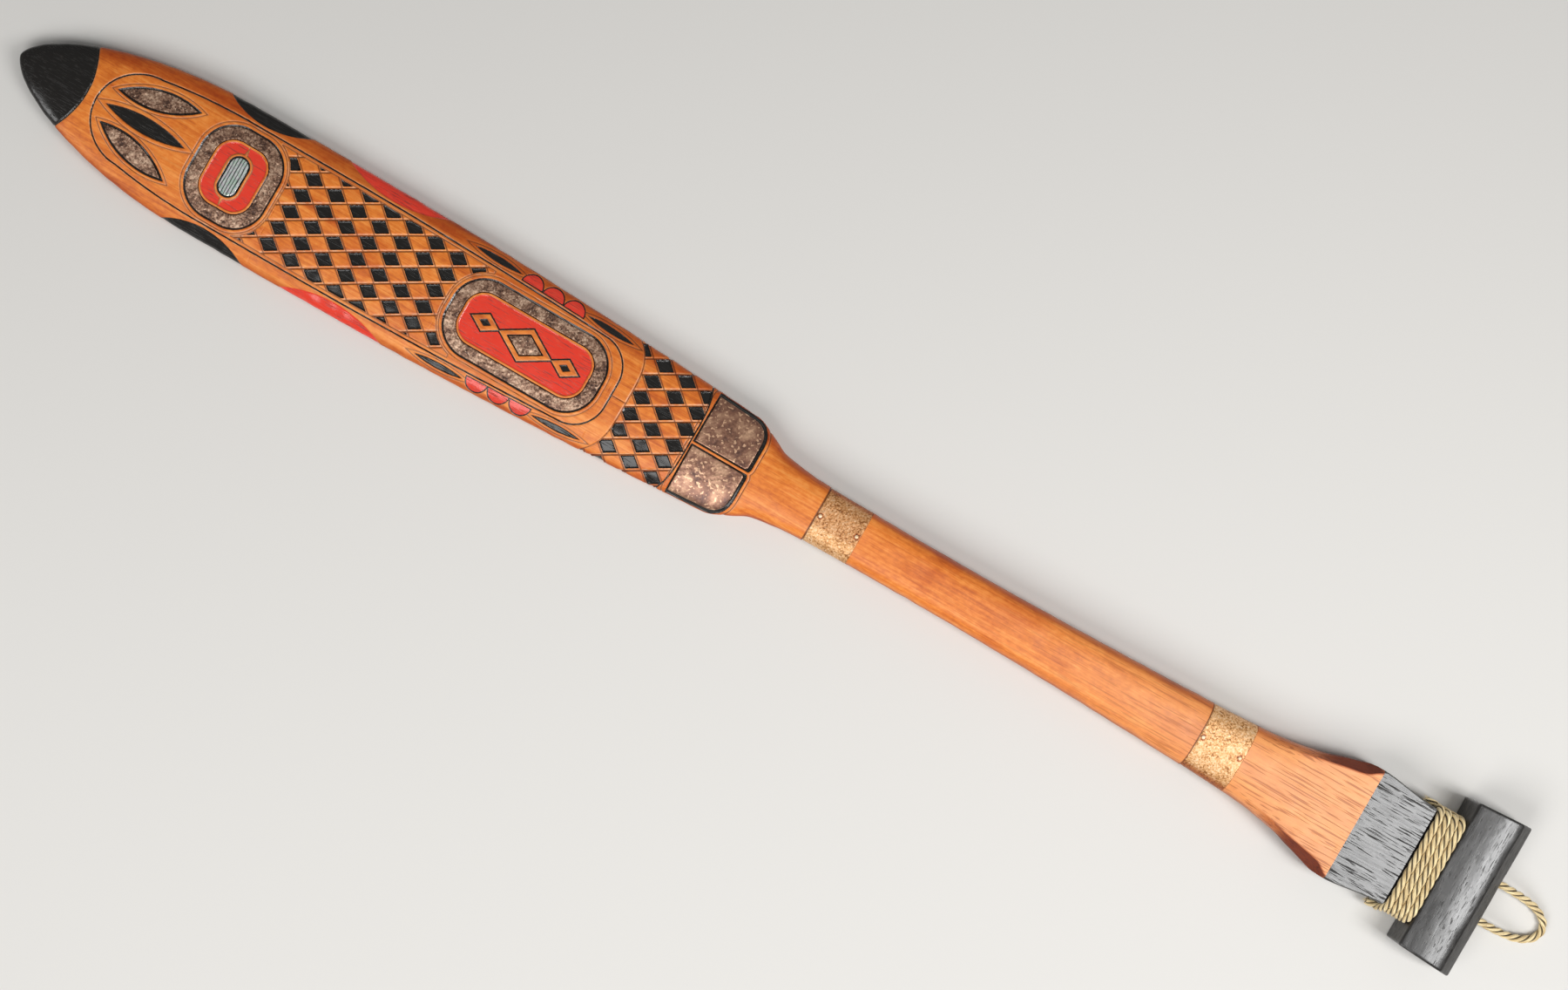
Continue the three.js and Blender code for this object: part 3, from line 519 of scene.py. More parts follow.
def leaf_distance(along, across):
    """Distance to the pair of copper leaves: lenses, in coordinates turned about their middles."""
    at, length, width, offset, degrees = LEAF
    cosine, sine = np.cos(np.radians(degrees)), np.sin(np.radians(degrees))
    x, y = along - at, np.abs(across) - offset
    return lens(at + x * cosine + y * sine, y * cosine - x * sine, at, length, width)


def polygon_distance(along, across, outline):
    """Distance to a closed polygon: the least distance to its sides, below nought inside."""
    least = np.full(along.shape, np.inf)
    inside = np.zeros(along.shape, bool)
    for a, b in zip(outline, np.roll(outline, -1, axis=0)):
        edge = b - a
        if not edge.any():
            continue
        x, y = along - a[0], across - a[1]
        t = np.clip((x * edge[0] + y * edge[1]) / (edge @ edge), 0, 1)
        least = np.minimum(least, np.hypot(x - t * edge[0], y - t * edge[1]))
        if edge[1] != 0:
            inside ^= ((a[1] > across) != (b[1] > across)) & (x < edge[0] * y / edge[1])
    return np.where(inside, -least, least)


# Carving

FAR = 9.0
# Paint, painted shade in the cuts, painted highlight on their slopes, and painted shade on the sides
# and facets
FIELDS = ("black", "red", "stain", "rub", "soak")


class Carving:
    """The cuts and paint over a grid of places on the blade. Cuts are depths in millimetres, of
    which the deepest counts. Black and red paint, the painted shade in the cuts and the painted
    highlight on their slopes are signed distances, of which the least counts."""

    def __init__(self, along, across, settings):
        self.along, self.across, self.settings = along, across, settings
        self.depth = np.zeros(along.shape)
        self.black, self.red, self.stain, self.rub = np.full((4, *along.shape), FAR)
        slope = (half_width(along + 1) - half_width(along - 1)) / 2
        self.edge = (half_width(along) - np.abs(across)) / np.hypot(1, slope)

    def dig(self, depth):
        self.depth = np.maximum(self.depth, depth)

    def sink(self, distance, depth=None, wall=None):
        """Sinks the inside of a shape with a sloped wall that starts on its outline."""
        wall = wall or self.settings.wall / MM
        self.dig((depth or self.settings.field_depth / MM) * smooth_step(0, wall, -distance))
        # Painted shade along the middle of the sloped wall
        self.stain = np.minimum(self.stain, np.abs(distance + wall / 2))

    def groove(self, distance, width=None, depth=None, paint=False):
        """Cuts a V along the line where a distance is nought, depth (1 - |distance| / half width)."""
        half = (width or self.settings.groove_width / MM) / 2
        off = np.abs(distance)
        self.dig((depth or self.settings.groove_depth / MM) * np.clip(1 - off / half, 0, 1))
        # Painted shade along the bottom of the V, and painted highlights on its slopes
        self.stain = np.minimum(self.stain, off - half * 0.2)
        self.rub = np.minimum(self.rub, np.abs(off - half * 0.8) - half * 0.3)
        if paint:
            self.black = np.minimum(self.black, off - half * 0.65)

    def recess(self, distance, thickness, keep=1):
        """The seat of a let-in plate, a little larger and deeper than the plate needs."""
        deep = INLAY_SINK + thickness + RECESS_CLEARANCE
        self.dig(deep * smooth_step(0.45, 0.05, distance) * keep)

    def paint(self, colour, distance):
        setattr(self, colour, np.minimum(getattr(self, colour), distance))


def panel_distance(c):
    """Distance to the long middle panel: the border's width in from the edge, with round ends."""
    border = c.settings.border / MM
    front_at, front_radius, end_at, corner = 83, 28.5, 385, 19.5
    front = np.hypot(c.along - front_at, c.across) - front_radius
    side = np.abs(c.across) - (half_width(c.along) - border - corner)
    back = np.hypot(np.maximum(c.along - end_at, 0), np.maximum(side, 0)) - corner
    return np.where(c.along < front_at, front, np.where(c.along > end_at, back, border - c.edge))


def carve_spear(c):
    """A black spear on the axis between two let-in leaves, each with a V round it."""
    spear = lens(c.along, c.across, 88, 55, 10.5)
    c.sink(spear)
    c.paint("black", spear + 0.3)
    c.groove(spear - 2.1, width=1, depth=0.45)
    leaves = leaf_distance(c.along, c.across)
    lip = leaves - 1.5
    c.sink(lip)
    c.paint("black", lip + 0.15)
    c.recess(leaves, COPPER)
    c.groove(lip - 1.5, width=1, depth=0.45)


def carve_ring(c, ring, rim):
    """A let-in ring with its black lip, the wood rim inside it and the sunk red field inside that."""
    outer = rounded_box(c.along, c.across, **ring)
    inner = outer + rim
    c.sink(outer - 1.3)
    c.paint("black", np.maximum(outer - 1.2, -(inner + 0.5)))
    c.groove(outer - 3.1, width=1.1, depth=0.5)
    c.depth = np.where(inner < 0, c.depth * (1 - smooth_step(-0.05, -0.45, inner)), c.depth)
    c.recess(outer, COPPER, smooth_step(-0.45, -0.05, inner))
    field = inner + 1.6
    c.sink(field, 0.6, 0.5)
    c.paint("red", field + 0.2)


def stand_up(c, distance):
    """A shape of bare wood left standing in a sunk field."""
    c.depth = c.depth * (1 - smooth_step(0.5, 0, distance))
    c.red = np.maximum(c.red, -(distance - 0.2))


def carve_small_ring(c):
    """The ring round the shell. The shell stands in a lip of wood with a point above and below."""
    carve_ring(c, SMALL_RING, SMALL_RIM)
    plate = rounded_box(c.along, c.across, **SHELL_PLATE)
    island = np.minimum(plate - 2.6, lens(c.across, c.along - SHELL_PLATE["at"], 0, 38, 4.6))
    stand_up(c, island)
    c.groove(island, width=0.9, depth=0.75)
    c.paint("black", np.maximum(plate - 1.1, -(plate + 0.5)))
    c.recess(plate, SHELL)
    c.sink(plate - 1.2, 0.7)


def carve_long_ring(c):
    """The ring round a chain of three lozenges, the middle one with copper let in."""
    carve_ring(c, LONG_RING, LONG_RIM)
    at, length, width = LOZENGE
    side_at, folded = at + 27, at + np.abs(c.along - at)
    island = np.minimum(
        lozenge(c.along, c.across, at, length + 13, width + 8),
        lozenge(folded, c.across, side_at, 18, 11))
    stand_up(c, island)
    c.groove(island - 0.55, width=1.5, depth=0.9, paint=True)
    hearts = lozenge(folded, c.across, side_at, 8.5, 5.2)
    c.sink(hearts, 0.7)
    c.paint("black", hearts + 0.2)
    plate = lozenge(c.along, c.across, at, length, width)
    c.sink(plate - 0.9, 0.7)
    c.paint("black", np.maximum(plate - 0.8, -(plate + 0.4)))
    c.recess(plate, COPPER)


def carve_lattice(c, field, shift):
    """Slanted diamonds, every second one sunk and black. In tilted coordinates (u, v) the two sets of
    lines are where v / rise - u / pitch and v / rise + u / pitch are whole. The first set are cuts
    with a long slope on their upper side and a steep one below, and the second are narrow Vs."""
    pitch, rise = c.settings.lattice_pitch / MM, c.settings.lattice_rise / MM
    cosine, sine = np.cos(c.settings.lattice_tilt), np.sin(c.settings.lattice_tilt)
    x, y = c.along - shift, c.across
    u, v = x * cosine - y * sine, x * sine + y * cosine
    climbing, falling = v / rise - u / pitch, v / rise + u / pitch
    spacing = pitch * rise / np.hypot(pitch, rise)
    over = (climbing - np.round(climbing)) * spacing
    beside = np.abs(falling - np.round(falling)) * spacing
    lower = (climbing - np.floor(climbing)) * spacing
    upper = spacing - lower
    dark = (np.floor(climbing) + np.floor(falling)) % 2 == 0
    hollow = np.maximum.reduce([1.15 - lower, 0.5 - upper, 0.68 - beside, field + 0.4])
    black = np.where(dark, hollow, np.minimum(np.abs(over), beside) + 0.5)
    slope = np.where(over > 0, 1 - over / 1.3, 1 + over / 0.35)
    cut = np.maximum(0.7 * np.clip(slope, 0, 1), 0.4 * np.clip(1 - beside / 0.5, 0, 1))
    sunk = 1.2 * smooth_step(0, 0.6, -black)
    c.dig(smooth_step(0, 0.5, -field) * np.maximum(cut, sunk))
    c.paint("black", black)
    # Painted shade on the steep lower wall of each cut, and painted highlight on the long upper slope
    # and beside the black diamonds
    shade = np.minimum(np.abs(over + 0.15) - 0.26, beside - 0.2)
    pale = np.minimum(np.abs(over - 0.62) - 0.34, np.where(dark, np.abs(beside - 0.5) - 0.1, FAR))
    c.stain = np.where(field < 0, np.minimum(c.stain, shade), c.stain)
    c.rub = np.where(field < 0, np.minimum(c.rub, pale), c.rub)


def carve_panel(c):
    """The V round the panel, and the lattice that fills it between the two rings."""
    panel = panel_distance(c)
    c.groove(panel, paint=True)
    rings = [4.4 - rounded_box(c.along, c.across, **ring) for ring in (SMALL_RING, LONG_RING)]
    field = np.maximum.reduce([panel + 2.2, *rings, 163 - c.along, c.along - 309])
    carve_lattice(c, field, 236)
    c.groove(field, width=1, depth=0.5)


def carve_border(c):
    """Painted half rounds, scallops and darts between the panel and the blade's edge."""
    for colour, at, chord, depth in (("black", 148, 56, 8.2), ("red", 235.5, 70, 8.4)):
        radius = (chord * chord / 4 + depth * depth) / (2 * depth)
        patch = np.hypot(c.along - at, c.edge + radius - depth) - radius
        c.sink(patch, 0.3, 0.8)
        c.paint(colour, patch + 0.1)
    for at in (331.5, 346, 360.5):
        lobe = np.maximum(np.hypot(c.along - at, c.edge - 8.1) - 6.9, c.edge - 8.1)
        c.sink(lobe, 0.4, 0.5)
        c.paint("red", lobe + 0.1)
        c.groove(lobe, width=1.1, depth=0.55, paint=True)
    for at in (307, 385):
        dart = lens(c.along, c.edge - 5.2, at, 34, 4)
        c.sink(dart, 0.6, 0.5)
        c.paint("black", dart + 0.15)
        c.groove(dart - 1.3, width=0.9, depth=0.4)


def carve_root(c):
    """The lattice band across the whole blade, and the black bed of the root plates."""
    bow = (c.across / 32.0) ** 4
    start = 414.3 - 6 * bow - c.along
    end = c.along - (458.3 - 3.5 * bow)
    carve_lattice(c, np.maximum(start, end), 436.3)
    c.groove(start, width=1.5, depth=0.8)
    c.groove(end, width=1.3, depth=0.8, paint=True)
    c.groove(np.where((c.along > 404.5) & (c.along < 415), c.across, FAR), width=1.1, depth=0.5)
    plates = polygon_distance(c.along, np.abs(c.across), plate_outline(1))
    bed = np.maximum(plates - 2.4, 459.3 - c.along)
    spine = np.abs(c.across) - 0.5
    c.dig(0.8 * smooth_step(0, 0.5, -bed) * smooth_step(0, 0.6, spine))
    c.paint("black", np.maximum(bed + 0.1, 0.15 - spine))
    c.recess(plates, COPPER)
    c.groove(plates - 4.1, width=1.2, depth=0.45)


def carve_blade(along, across, settings):
    """All cuts and paint of the blade's front, from the black tip with its round end to the root."""
    c = Carving(along, across, settings)
    tip = np.hypot(c.along - 5, c.across) - 43
    c.paint("black", tip)
    c.groove(tip, paint=True)
    for carve in (
            carve_panel, carve_border, carve_spear, carve_small_ring, carve_long_ring, carve_root):
        carve(c)
    return c


# Materials

# Sockets of a colour mix, and settings that many nodes share
FACTOR, FIRST, SECOND, MIXED = 0, 6, 7, 2
COLOURS = {"data_type": "RGBA"}
SMOOTH = {"interpolation_type": "SMOOTHSTEP"}
SUM = {"operation": "MULTIPLY_ADD"}


def add_node(tree, kind, inputs=(), output=0, ramp=(), **settings):
    """Adds a shader node, sets its settings and fills its inputs, which are given in order or by
    name or number: a socket is linked, and any other value is set. ramp is the (place, colour)
    pairs of a colour ramp. Returns the output asked for."""
    node = tree.nodes.new("ShaderNode" + kind)
    for key, value in settings.items():
        setattr(node, key, value)
    for key, value in inputs.items() if isinstance(inputs, dict) else enumerate(inputs):
        if isinstance(value, bpy.types.NodeSocket):
            tree.links.new(value, node.inputs[key])
        else:
            node.inputs[key].default_value = value
    if ramp:
        stops = node.color_ramp.elements
        while len(stops) < len(ramp):
            stops.new(0.5)
        for stop, (place, shade) in zip(stops, ramp):
            stop.position = place
            stop.color = shade
    return None if output is None else node.outputs[output]


def new_material(name):
    """An empty material, and add_node for its tree."""
    material = bpy.data.materials.new(name)
    material.use_nodes = True
    material.node_tree.nodes.clear()
    return material, partial(add_node, material.node_tree)


def oiled_painted_cedar(name, settings):
    """Red cedar, carved, brushed with black and red paint and oiled. Oil gives the bare wood a
    satin sheen over fine straight grain, and the paint is a little duller and lets the grain through.
    Painted shade darkens the cuts, the sides and the flare's facets, painted highlights the cuts'
    slopes."""
    material, add = new_material(name)
    place = add("TexCoord", output="Object")
    fibres = 1 / settings.fibre
    # Cells in a metre along and across the grain. Grain lines are a fibre apart, streaks about 2.5 mm
    # wide, the figure 10 mm, blotches 17 mm, mottling 2.4 mm, torn edges of paint 1.1 mm and worn
    # paint 1.4 mm. Pores and brush marks are finer on real wood, and are drawn 1 mm and 0.7 mm wide
    # so that they show.
    fine, streak, figure, blotch, mottle, pores, torn, wear, brush = (
        add("TexNoise", {
            "Vector": add("Mapping", {"Vector": place, "Scale": (along, across, across)}),
            "Scale": 1, "Detail": detail, "Roughness": rough, "Distortion": bent})
        for along, across, detail, rough, bent in (
            (40, fibres, 4, 0.6, 0), (15, fibres * 0.36, 3, 0.55, 0), (7, 95, 3, 0.5, 0.3),
            (28, 60, 3, 0.55, 0), (260, 420, 3, 0.6, 0), (34, 950, 2, 0.5, 0),
            (300, 900, 3, 0.55, 0), (140, 700, 4, 0.7, 0), (80, 1500, 1, 0.55, 0)))
    black, red, stain, rub, soak = (
        add("Attribute", output="Fac", attribute_name=field) for field in FIELDS)
    along = add("SeparateXYZ", {"Vector": place})
    torn = add("Math", (torn, 0.5, -0.25), **SUM)
    # The fifth field is painted shade: up to 0.4 along the sides, and above 0.45 darker painted shade
    # on the flare's facets
    black, red, stain, rub, side_shade_mask, facet_shade_mask, blotch, grip, pores, worn, burnish_and_highlight, brush = (
        add("MapRange", limits, **SMOOTH) for limits in (
            (add("Math", (black, torn), operation="ADD"), 0.12, -0.12),
            (add("Math", (red, torn), operation="ADD"), 0.12, -0.12),
            (stain, 0.5, -0.1), (rub, 0.25, -0.3), (soak, 0, 0.4), (soak, 0.45, 1),
            (blotch, 0.46, 0.68), (along, 0.12, 0.42), (pores, 0.54, 0.62), (wear, 0.52, 0.75),
            (mottle, 0.4, 0.62), (brush, 0.59, 0.66)))
    painted = add("Math", (red, black), operation="MAXIMUM")
    brush = add("Math", (painted, brush), operation="MULTIPLY")
    open_grain = add("Math", (pores, add("Math", (grip, 0.5, 0.14), **SUM)), operation="MULTIPLY")
    rub = add("Math", (rub, add("Math", (burnish_and_highlight, 0.6, 0.12), **SUM)), operation="MULTIPLY")
    grain = 0
    for pattern, weight in ((figure, 0.22), (streak, 0.3), (mottle, 0.24), (fine, 0.26)):
        grain = add("Math", (pattern, weight, grain), **SUM)
    colour = add("ValToRGB", (grain,), ramp=(
        (0.42, settings.light), (0.51, settings.middle), (0.63, settings.dark)))
    red_paint, black_paint = (
        add("Mix", {
            FACTOR: add("Math", (worn, weight), operation="MULTIPLY"), FIRST: full, SECOND: thin},
            MIXED, **COLOURS)
        for weight, full, thin in (
            (0.5, settings.red, settings.red_worn), (0.6, settings.black, settings.black_worn)))
    # Painted highlight on the slopes of the cuts, and painted shade in the cuts, along the sides and
    # on the flare's facets
    for mask, weight, shade, blend in (
            (blotch, 1, linear("#ECD7BC"), "MULTIPLY"), (grip, 0.62, settings.pale, "MIX"),
            (open_grain, 1, settings.pore, "MIX"), (rub, 1, settings.burnish_and_highlight, "MIX"),
            (stain, 0.85, settings.stain, "MIX"), (side_shade_mask, 1, linear("#D7B68E"), "MULTIPLY"),
            (facet_shade_mask, 1, linear("#9B6C30"), "MULTIPLY"), (red, 1, red_paint, "MIX"),
            (black, 1, black_paint, "MIX"), (brush, 0.5, settings.black, "MIX")):
        share = add("Math", (mask, weight), operation="MULTIPLY")
        colour = add(
            "Mix", {FACTOR: share, FIRST: colour, SECOND: shade}, MIXED, **COLOURS, blend_type=blend)
    rough = 0.34
    for pattern, weight in ((fine, 0.2), (painted, -0.25), (brush, 0.45), (facet_shade_mask, 0.35)):
        rough = add("Math", (pattern, weight, rough), **SUM)
    fine = add("Math", (fine, 0.5), operation="MULTIPLY")
    height = add("Math", (open_grain, -0.8, fine), **SUM)
    bare = add("Math", (painted, -0.85, 1), **SUM)
    height = add("Math", (height, bare), operation="MULTIPLY")
    height = add("Math", (brush, -0.35, height), **SUM)
    bump = add("Bump", {"Strength": 0.35, "Distance": 0.0003, "Height": height})
    shader = add("BsdfPrincipled", {
        "Base Color": colour, "Roughness": rough, "Normal": bump, "Specular IOR Level": 0.46,
        "IOR": 1.5})
    add("OutputMaterial", {"Surface": shader}, None)
    return material


def black_painted_wood(name, settings):
    """Wood brushed with thin black paint and rubbed, so that brush marks and grain catch the light
    and the high spots are grey."""
    material, add = new_material(name)
    place = add("TexCoord", output="Object")
    # Cells in a metre across and along the grain, which runs along the crosspiece: brush marks
    # about 1.1 mm wide, chips 0.7 mm and worn spots 2.4 mm
    streak, chips, worn = (
        add("TexNoise", {
            "Vector": add("Mapping", {"Vector": place, "Scale": (across, along, across)}),
            "Scale": 1, "Detail": detail, "Roughness": rough})
        for across, along, detail, rough in (
            (900, 75, 4, 0.65), (1500, 170, 2, 0.55), (420, 110, 4, 0.7)))
    chips = add("MapRange", (chips, 0.58, 0.66), **SMOOTH)
    worn = add("MapRange", (worn, 0.48, 0.75), **SMOOTH)
    share = add("Math", (worn, 0.7), operation="MULTIPLY")
    colour = add(
        "Mix", {FACTOR: share, FIRST: settings.black, SECOND: settings.black_worn}, MIXED,
        **COLOURS)
    rough = add("Math", (streak, 0.16, add("Math", (chips, 0.3, 0.21), **SUM)), **SUM)
    streak = add("Math", (streak, 0.4), operation="MULTIPLY")
    height = add("Math", (chips, -0.4, streak), **SUM)
    bump = add("Bump", {"Strength": 0.25, "Distance": 0.0003, "Height": height})
    shader = add("BsdfPrincipled", {
        "Base Color": colour, "Roughness": rough, "Normal": bump, "Specular IOR Level": 0.7,
        "IOR": 1.5})
    add("OutputMaterial", {"Surface": shader}, None)
    return material


# For each copper its three colours, how metallic it looks, how much finer than a dent its grain is,
# the share of that grain, its least roughness, how much softer its clouds are and where specks start.
# Aged plates are brown with pale rubbed specks, the sheet has wide soft clouds of purple patina, the
# bands are rubbed golden by hands and the tacks, the highest spots, are burnished almost pale.
COPPERS = {
    "aged_hammered_copper": (("dark", "middle", "light"), 0.45, 1.9, 0.5, 0.3, 0, 0.66),
    "patinated_copper_sheet": (("purple", "mauve", "rosy"), 0.45, 1.5, 0.2, 0.18, 0.1, 0.6),
    "bright_hammered_copper": (
        ("band_dark", "band_middle", "band_light"), 0.35, 2.0, 0.68, 0.3, 0, 0.66),
    "burnished_tack_copper": (
        ("band_middle", "band_light", "burnish_and_highlight"), 0.3, 1.6, 0.4, 0.3, 0, 0.66),
}


def hammered_copper(name, settings):
    """Sheet copper, hammered and left to age. Dents scatter the light, patina lies dark in blotches
    and rubbed spots shine pale. Painted shade browns it and, near 1, painted shadow darkens it."""
    colours, metal, fineness, fleck, dull, even, specks = COPPERS[name]
    dark, middle, light = (getattr(settings, key) for key in colours)
    material, add = new_material(name)
    place = add("TexCoord", output="Object")
    # Cells in a metre, from the dents' distance: clouds of three dents and grain of about half a one
    dents = 1 / settings.dent
    cloud, fine, speck = (
        add("TexNoise", {
            "Vector": add("Mapping", {"Vector": place, "Scale": (dents * scale,) * 3}),
            "Scale": 1, "Detail": detail, "Roughness": rough})
        for scale, detail, rough in (
            (0.32 - even, 3, 0.6), (fineness, 3, 0.65), (fineness * 0.8, 1, 0.4)))
    # Painted shade on the bands browns them below 0.8, and painted shadow near 1 round the tacks mixes
    # towards the patina colour
    soil = add("Attribute", output="Fac", attribute_name="soil")
    speck, band_shade_mask, tack_shadow_mask = (
        add("MapRange", limits, **SMOOTH)
        for limits in ((speck, specks, specks + 0.06), (soil, 0, 0.8), (soil, 0.84, 1)))
    cloud = add("Math", (cloud, 1 - fleck), operation="MULTIPLY")
    tone = add("Math", (fine, fleck, cloud), **SUM)
    colour = add("ValToRGB", (tone,), ramp=(
        (0.4 - even, dark), (0.49, middle), (0.66 + even, light)))
    for mask, weight, shade, blend in (
            (speck, 0.8, light, "MIX"), (band_shade_mask, 1, linear("#BF813F"), "MULTIPLY"),
            (tack_shadow_mask, 1, settings.dark, "MIX")):
        share = add("Math", (mask, weight), operation="MULTIPLY")
        colour = add(
            "Mix", {FACTOR: share, FIRST: colour, SECOND: shade}, MIXED, **COLOURS, blend_type=blend)
    rough = add("Math", (fine, 0.3, dull), **SUM)
    bump = add("Bump", {"Strength": 0.5, "Distance": 0.0003, "Height": fine})
    shader = add("BsdfPrincipled", {
        "Base Color": colour, "Metallic": metal, "Roughness": rough, "Normal": bump})
    add("OutputMaterial", {"Surface": shader}, None)
    return material


def polished_abalone(name, settings):
    """Abalone shell, ground flat and polished: dark growth lines wave through layers that shine
    silver, green and pink, under a clear gloss."""
    material, add = new_material(name)
    place = add("TexCoord", output="Object")
    # Cells in a metre: growth lines about 2 mm apart across the shell, and layers of 4 to 7 mm
    bent, layered = (
        add("Mapping", {"Vector": place, "Scale": scale})
        for scale in ((300, 60, 120), (260, 150, 150)))
    lines = add("TexWave", {
        "Vector": bent, "Scale": 0.55, "Distortion": 4, "Detail": 3, "Detail Scale": 1.4},
        "Fac", wave_type="BANDS", bands_direction="X")
    layer = add("TexNoise", {
        "Vector": layered, "Scale": 1, "Detail": 3, "Roughness": 0.6, "Distortion": 1.5})
    colour = add("ValToRGB", (layer,), ramp=[(at, linear(shade)) for at, shade in (
        (0.3, "#7FA79B"), (0.42, "#D9E2DA"), (0.5, "#C7B9C4"), (0.58, "#A9C9B4"),
        (0.68, "#E9E4DC"), (0.78, "#8C9BB2"))])
    share = add("MapRange", (lines, 0.3, 0.08), **SMOOTH)
    colour = add(
        "Mix", {FACTOR: share, FIRST: colour, SECOND: settings.growth}, MIXED, **COLOURS)
    bump = add("Bump", {"Strength": 0.15, "Distance": 0.0002, "Height": lines})
    shader = add("BsdfPrincipled", {
        "Base Color": colour, "Roughness": 0.18, "Metallic": 0.25, "Coat Weight": 0.6,
        "Coat Roughness": 0.05, "Normal": bump})
    add("OutputMaterial", {"Surface": shader}, None)
    return material


def laid_hemp(name, settings):
    """Natural fibre rope, three strands twisted together. Each strand is a bundle of straw-coloured
    fibres that run along it, pale and brown at random, with painted shade between the strands."""
    material, add = new_material(name)
    uv = add("UVMap", uv_map="UVMap")
    uv = add("Mapping", {"Vector": uv, "Rotation": (0, 0, -0.35)})
    place = add("TexCoord", output="Object")
    # Cells in a metre: fibres 0.3 mm wide, coarser than real hemp so that they show, tufts 2 mm wide
    # and patches of 11 mm
    fibre, tuft, patch = (
        add("TexNoise", {
            "Vector": add("Mapping", {"Vector": vector, "Scale": scale}), "Scale": 1,
            "Detail": detail, "Roughness": rough})
        for vector, scale, detail, rough in (
            (uv, (160, 3300, 1), 4, 0.65), (uv, (60, 500, 1), 3, 0.6),
            (place, (90, 90, 90), 2, 0.55)))
    deep = add("Attribute", output="Fac", attribute_name="deep")
    patch = add("MapRange", (patch, 0.4, 0.75), **SMOOTH)
    # Painted shade where the strands turn in towards each other
    deep = add("MapRange", (deep, 0.2, 0.62), **SMOOTH)
    tuft = add("Math", (tuft, 0.4), operation="MULTIPLY")
    tone = add("Math", (fibre, 0.6, tuft), **SUM)
    colour = add("ValToRGB", (tone,), ramp=((0.36, settings.dark), (0.58, settings.light)))
    for mask, weight, shade, blend in (
            (patch, 1, linear("#FAF6EF"), "MULTIPLY"), (deep, 0.96, settings.gap, "MIX")):
        share = add("Math", (mask, weight), operation="MULTIPLY")
        colour = add(
            "Mix", {FACTOR: share, FIRST: colour, SECOND: shade}, MIXED, **COLOURS, blend_type=blend)
    bump = add("Bump", {"Strength": 0.8, "Distance": 0.0004, "Height": tone})
    shader = add("BsdfPrincipled", {
        "Base Color": colour, "Roughness": 0.72, "Normal": bump, "Sheen Weight": 0.15})
    add("OutputMaterial", {"Surface": shader}, None)
    return material


def pale_floor(name, settings):
    """Matt painted board, plain and pale, which shows no glare and throws soft light back."""
    material, add = new_material(name)
    shader = add("BsdfPrincipled", {
        "Base Color": settings.floor, "Roughness": 0.9, "Specular IOR Level": 0.2})
    add("OutputMaterial", {"Surface": shader}, None)
    return material


FINISHES = {
    "oiled_painted_cedar": (oiled_painted_cedar, "paddle_wood"),
    "black_painted_wood": (black_painted_wood, "paddle_wood"),
    **{name: (hammered_copper, "paddle_copper") for name in COPPERS},
    "polished_abalone": (polished_abalone, "paddle_copper"),
    "laid_hemp": (laid_hemp, "paddle_rope"),
    "pale_floor": (pale_floor, "paddle_stage"),
}


def material_named(name):
    """The material of that name, made from its settings the first time that it is asked for."""
    make, group = FINISHES[name]
    return bpy.data.materials.get(name) or make(name, getattr(bpy.context.scene, group))


# Rope

STRANDS = 3
STRAND_SIDES = 14
STRAND_SHARE = 0.47
ROPE_STEP = 0.75

# The loop's route as [out from the crosspiece, across, height], given as in the frame
LOOP_ROUTE = (
    (-11.6, 12.5, 12.5), (-5, 12.5, 12.5), (1, 12.5, 12.4), (8, 12.6, 11.2), (15.5, 12.5, 8.9),
    (23.5, 12.1, 6.2), (31, 10.9, 4.1), (37.4, 8.1, 3), (41.3, 3.6, 2.6), (41.6, -1.6, 2.5),
    (38.6, -6.2, 2.8), (32.9, -9.6, 3.8), (25.5, -11.5, 5.7), (17.5, -12.2, 8.3), (9, -12.5, 10.9),
    (1, -12.5, 12.4), (-5, -12.5, 12.5), (-11.6, -12.5, 12.5),
)


def through(points, steps=12):
    """A smooth line through points: a Catmull-Rom spline, each span a cubic whose tangents are half
    the chord of the neighbours."""
    points = np.asarray(points, float)
    padded = np.concatenate([[2 * points[0] - points[1]], points, [2 * points[-1] - points[-2]]])
    t = np.linspace(0, 1, steps, endpoint=False)[:, None]
    spans = []
    for a, b, c, d in zip(padded[:-3], padded[1:-2], padded[2:-1], padded[3:]):
        spans.append(b + t * (c - a) / 2 + t ** 2 * (a - 2.5 * b + 2 * c - d / 2)
                     + t ** 3 * (1.5 * (b - c) + (d - a) / 2))
    return np.concatenate([*spans, points[-1:]])


def smoothed(points, passes):
    """A route whose inner points are moved halfway to the middle of their neighbours, again and
    again, with its two ends kept."""
    points = points.copy()
    for _ in range(passes):
        points[1:-1] = points[1:-1] / 2 + (points[:-2] + points[2:]) / 4
    return points


def moving_frame(points):
    """Unit vectors out and across at each point of a route. The first out vector is carried along
    without twist: at each step it loses the part that lies along the route."""
    forward = unit(np.gradient(points, axis=0))
    out = np.zeros_like(forward)
    start = np.array([0.0, 0.0, 1.0]) if abs(forward[0][2]) < 0.9 else np.array([0.0, 1.0, 0.0])
    for i, direction in enumerate(forward):
        start = unit(start - direction * (start @ direction))
        out[i] = start
    return out, np.cross(forward, out)


def tube(line, out, across, radius, sides):
    """A round tube along a line: point = line + radius (out cos(turn) + across sin(turn))."""
    turn = (np.arange(sides) / sides * TURN)[None, :, None]
    return line[:, None, :] + radius[:, None, None] * (
        out[:, None, :] * np.cos(turn) + across[:, None, :] * np.sin(turn))


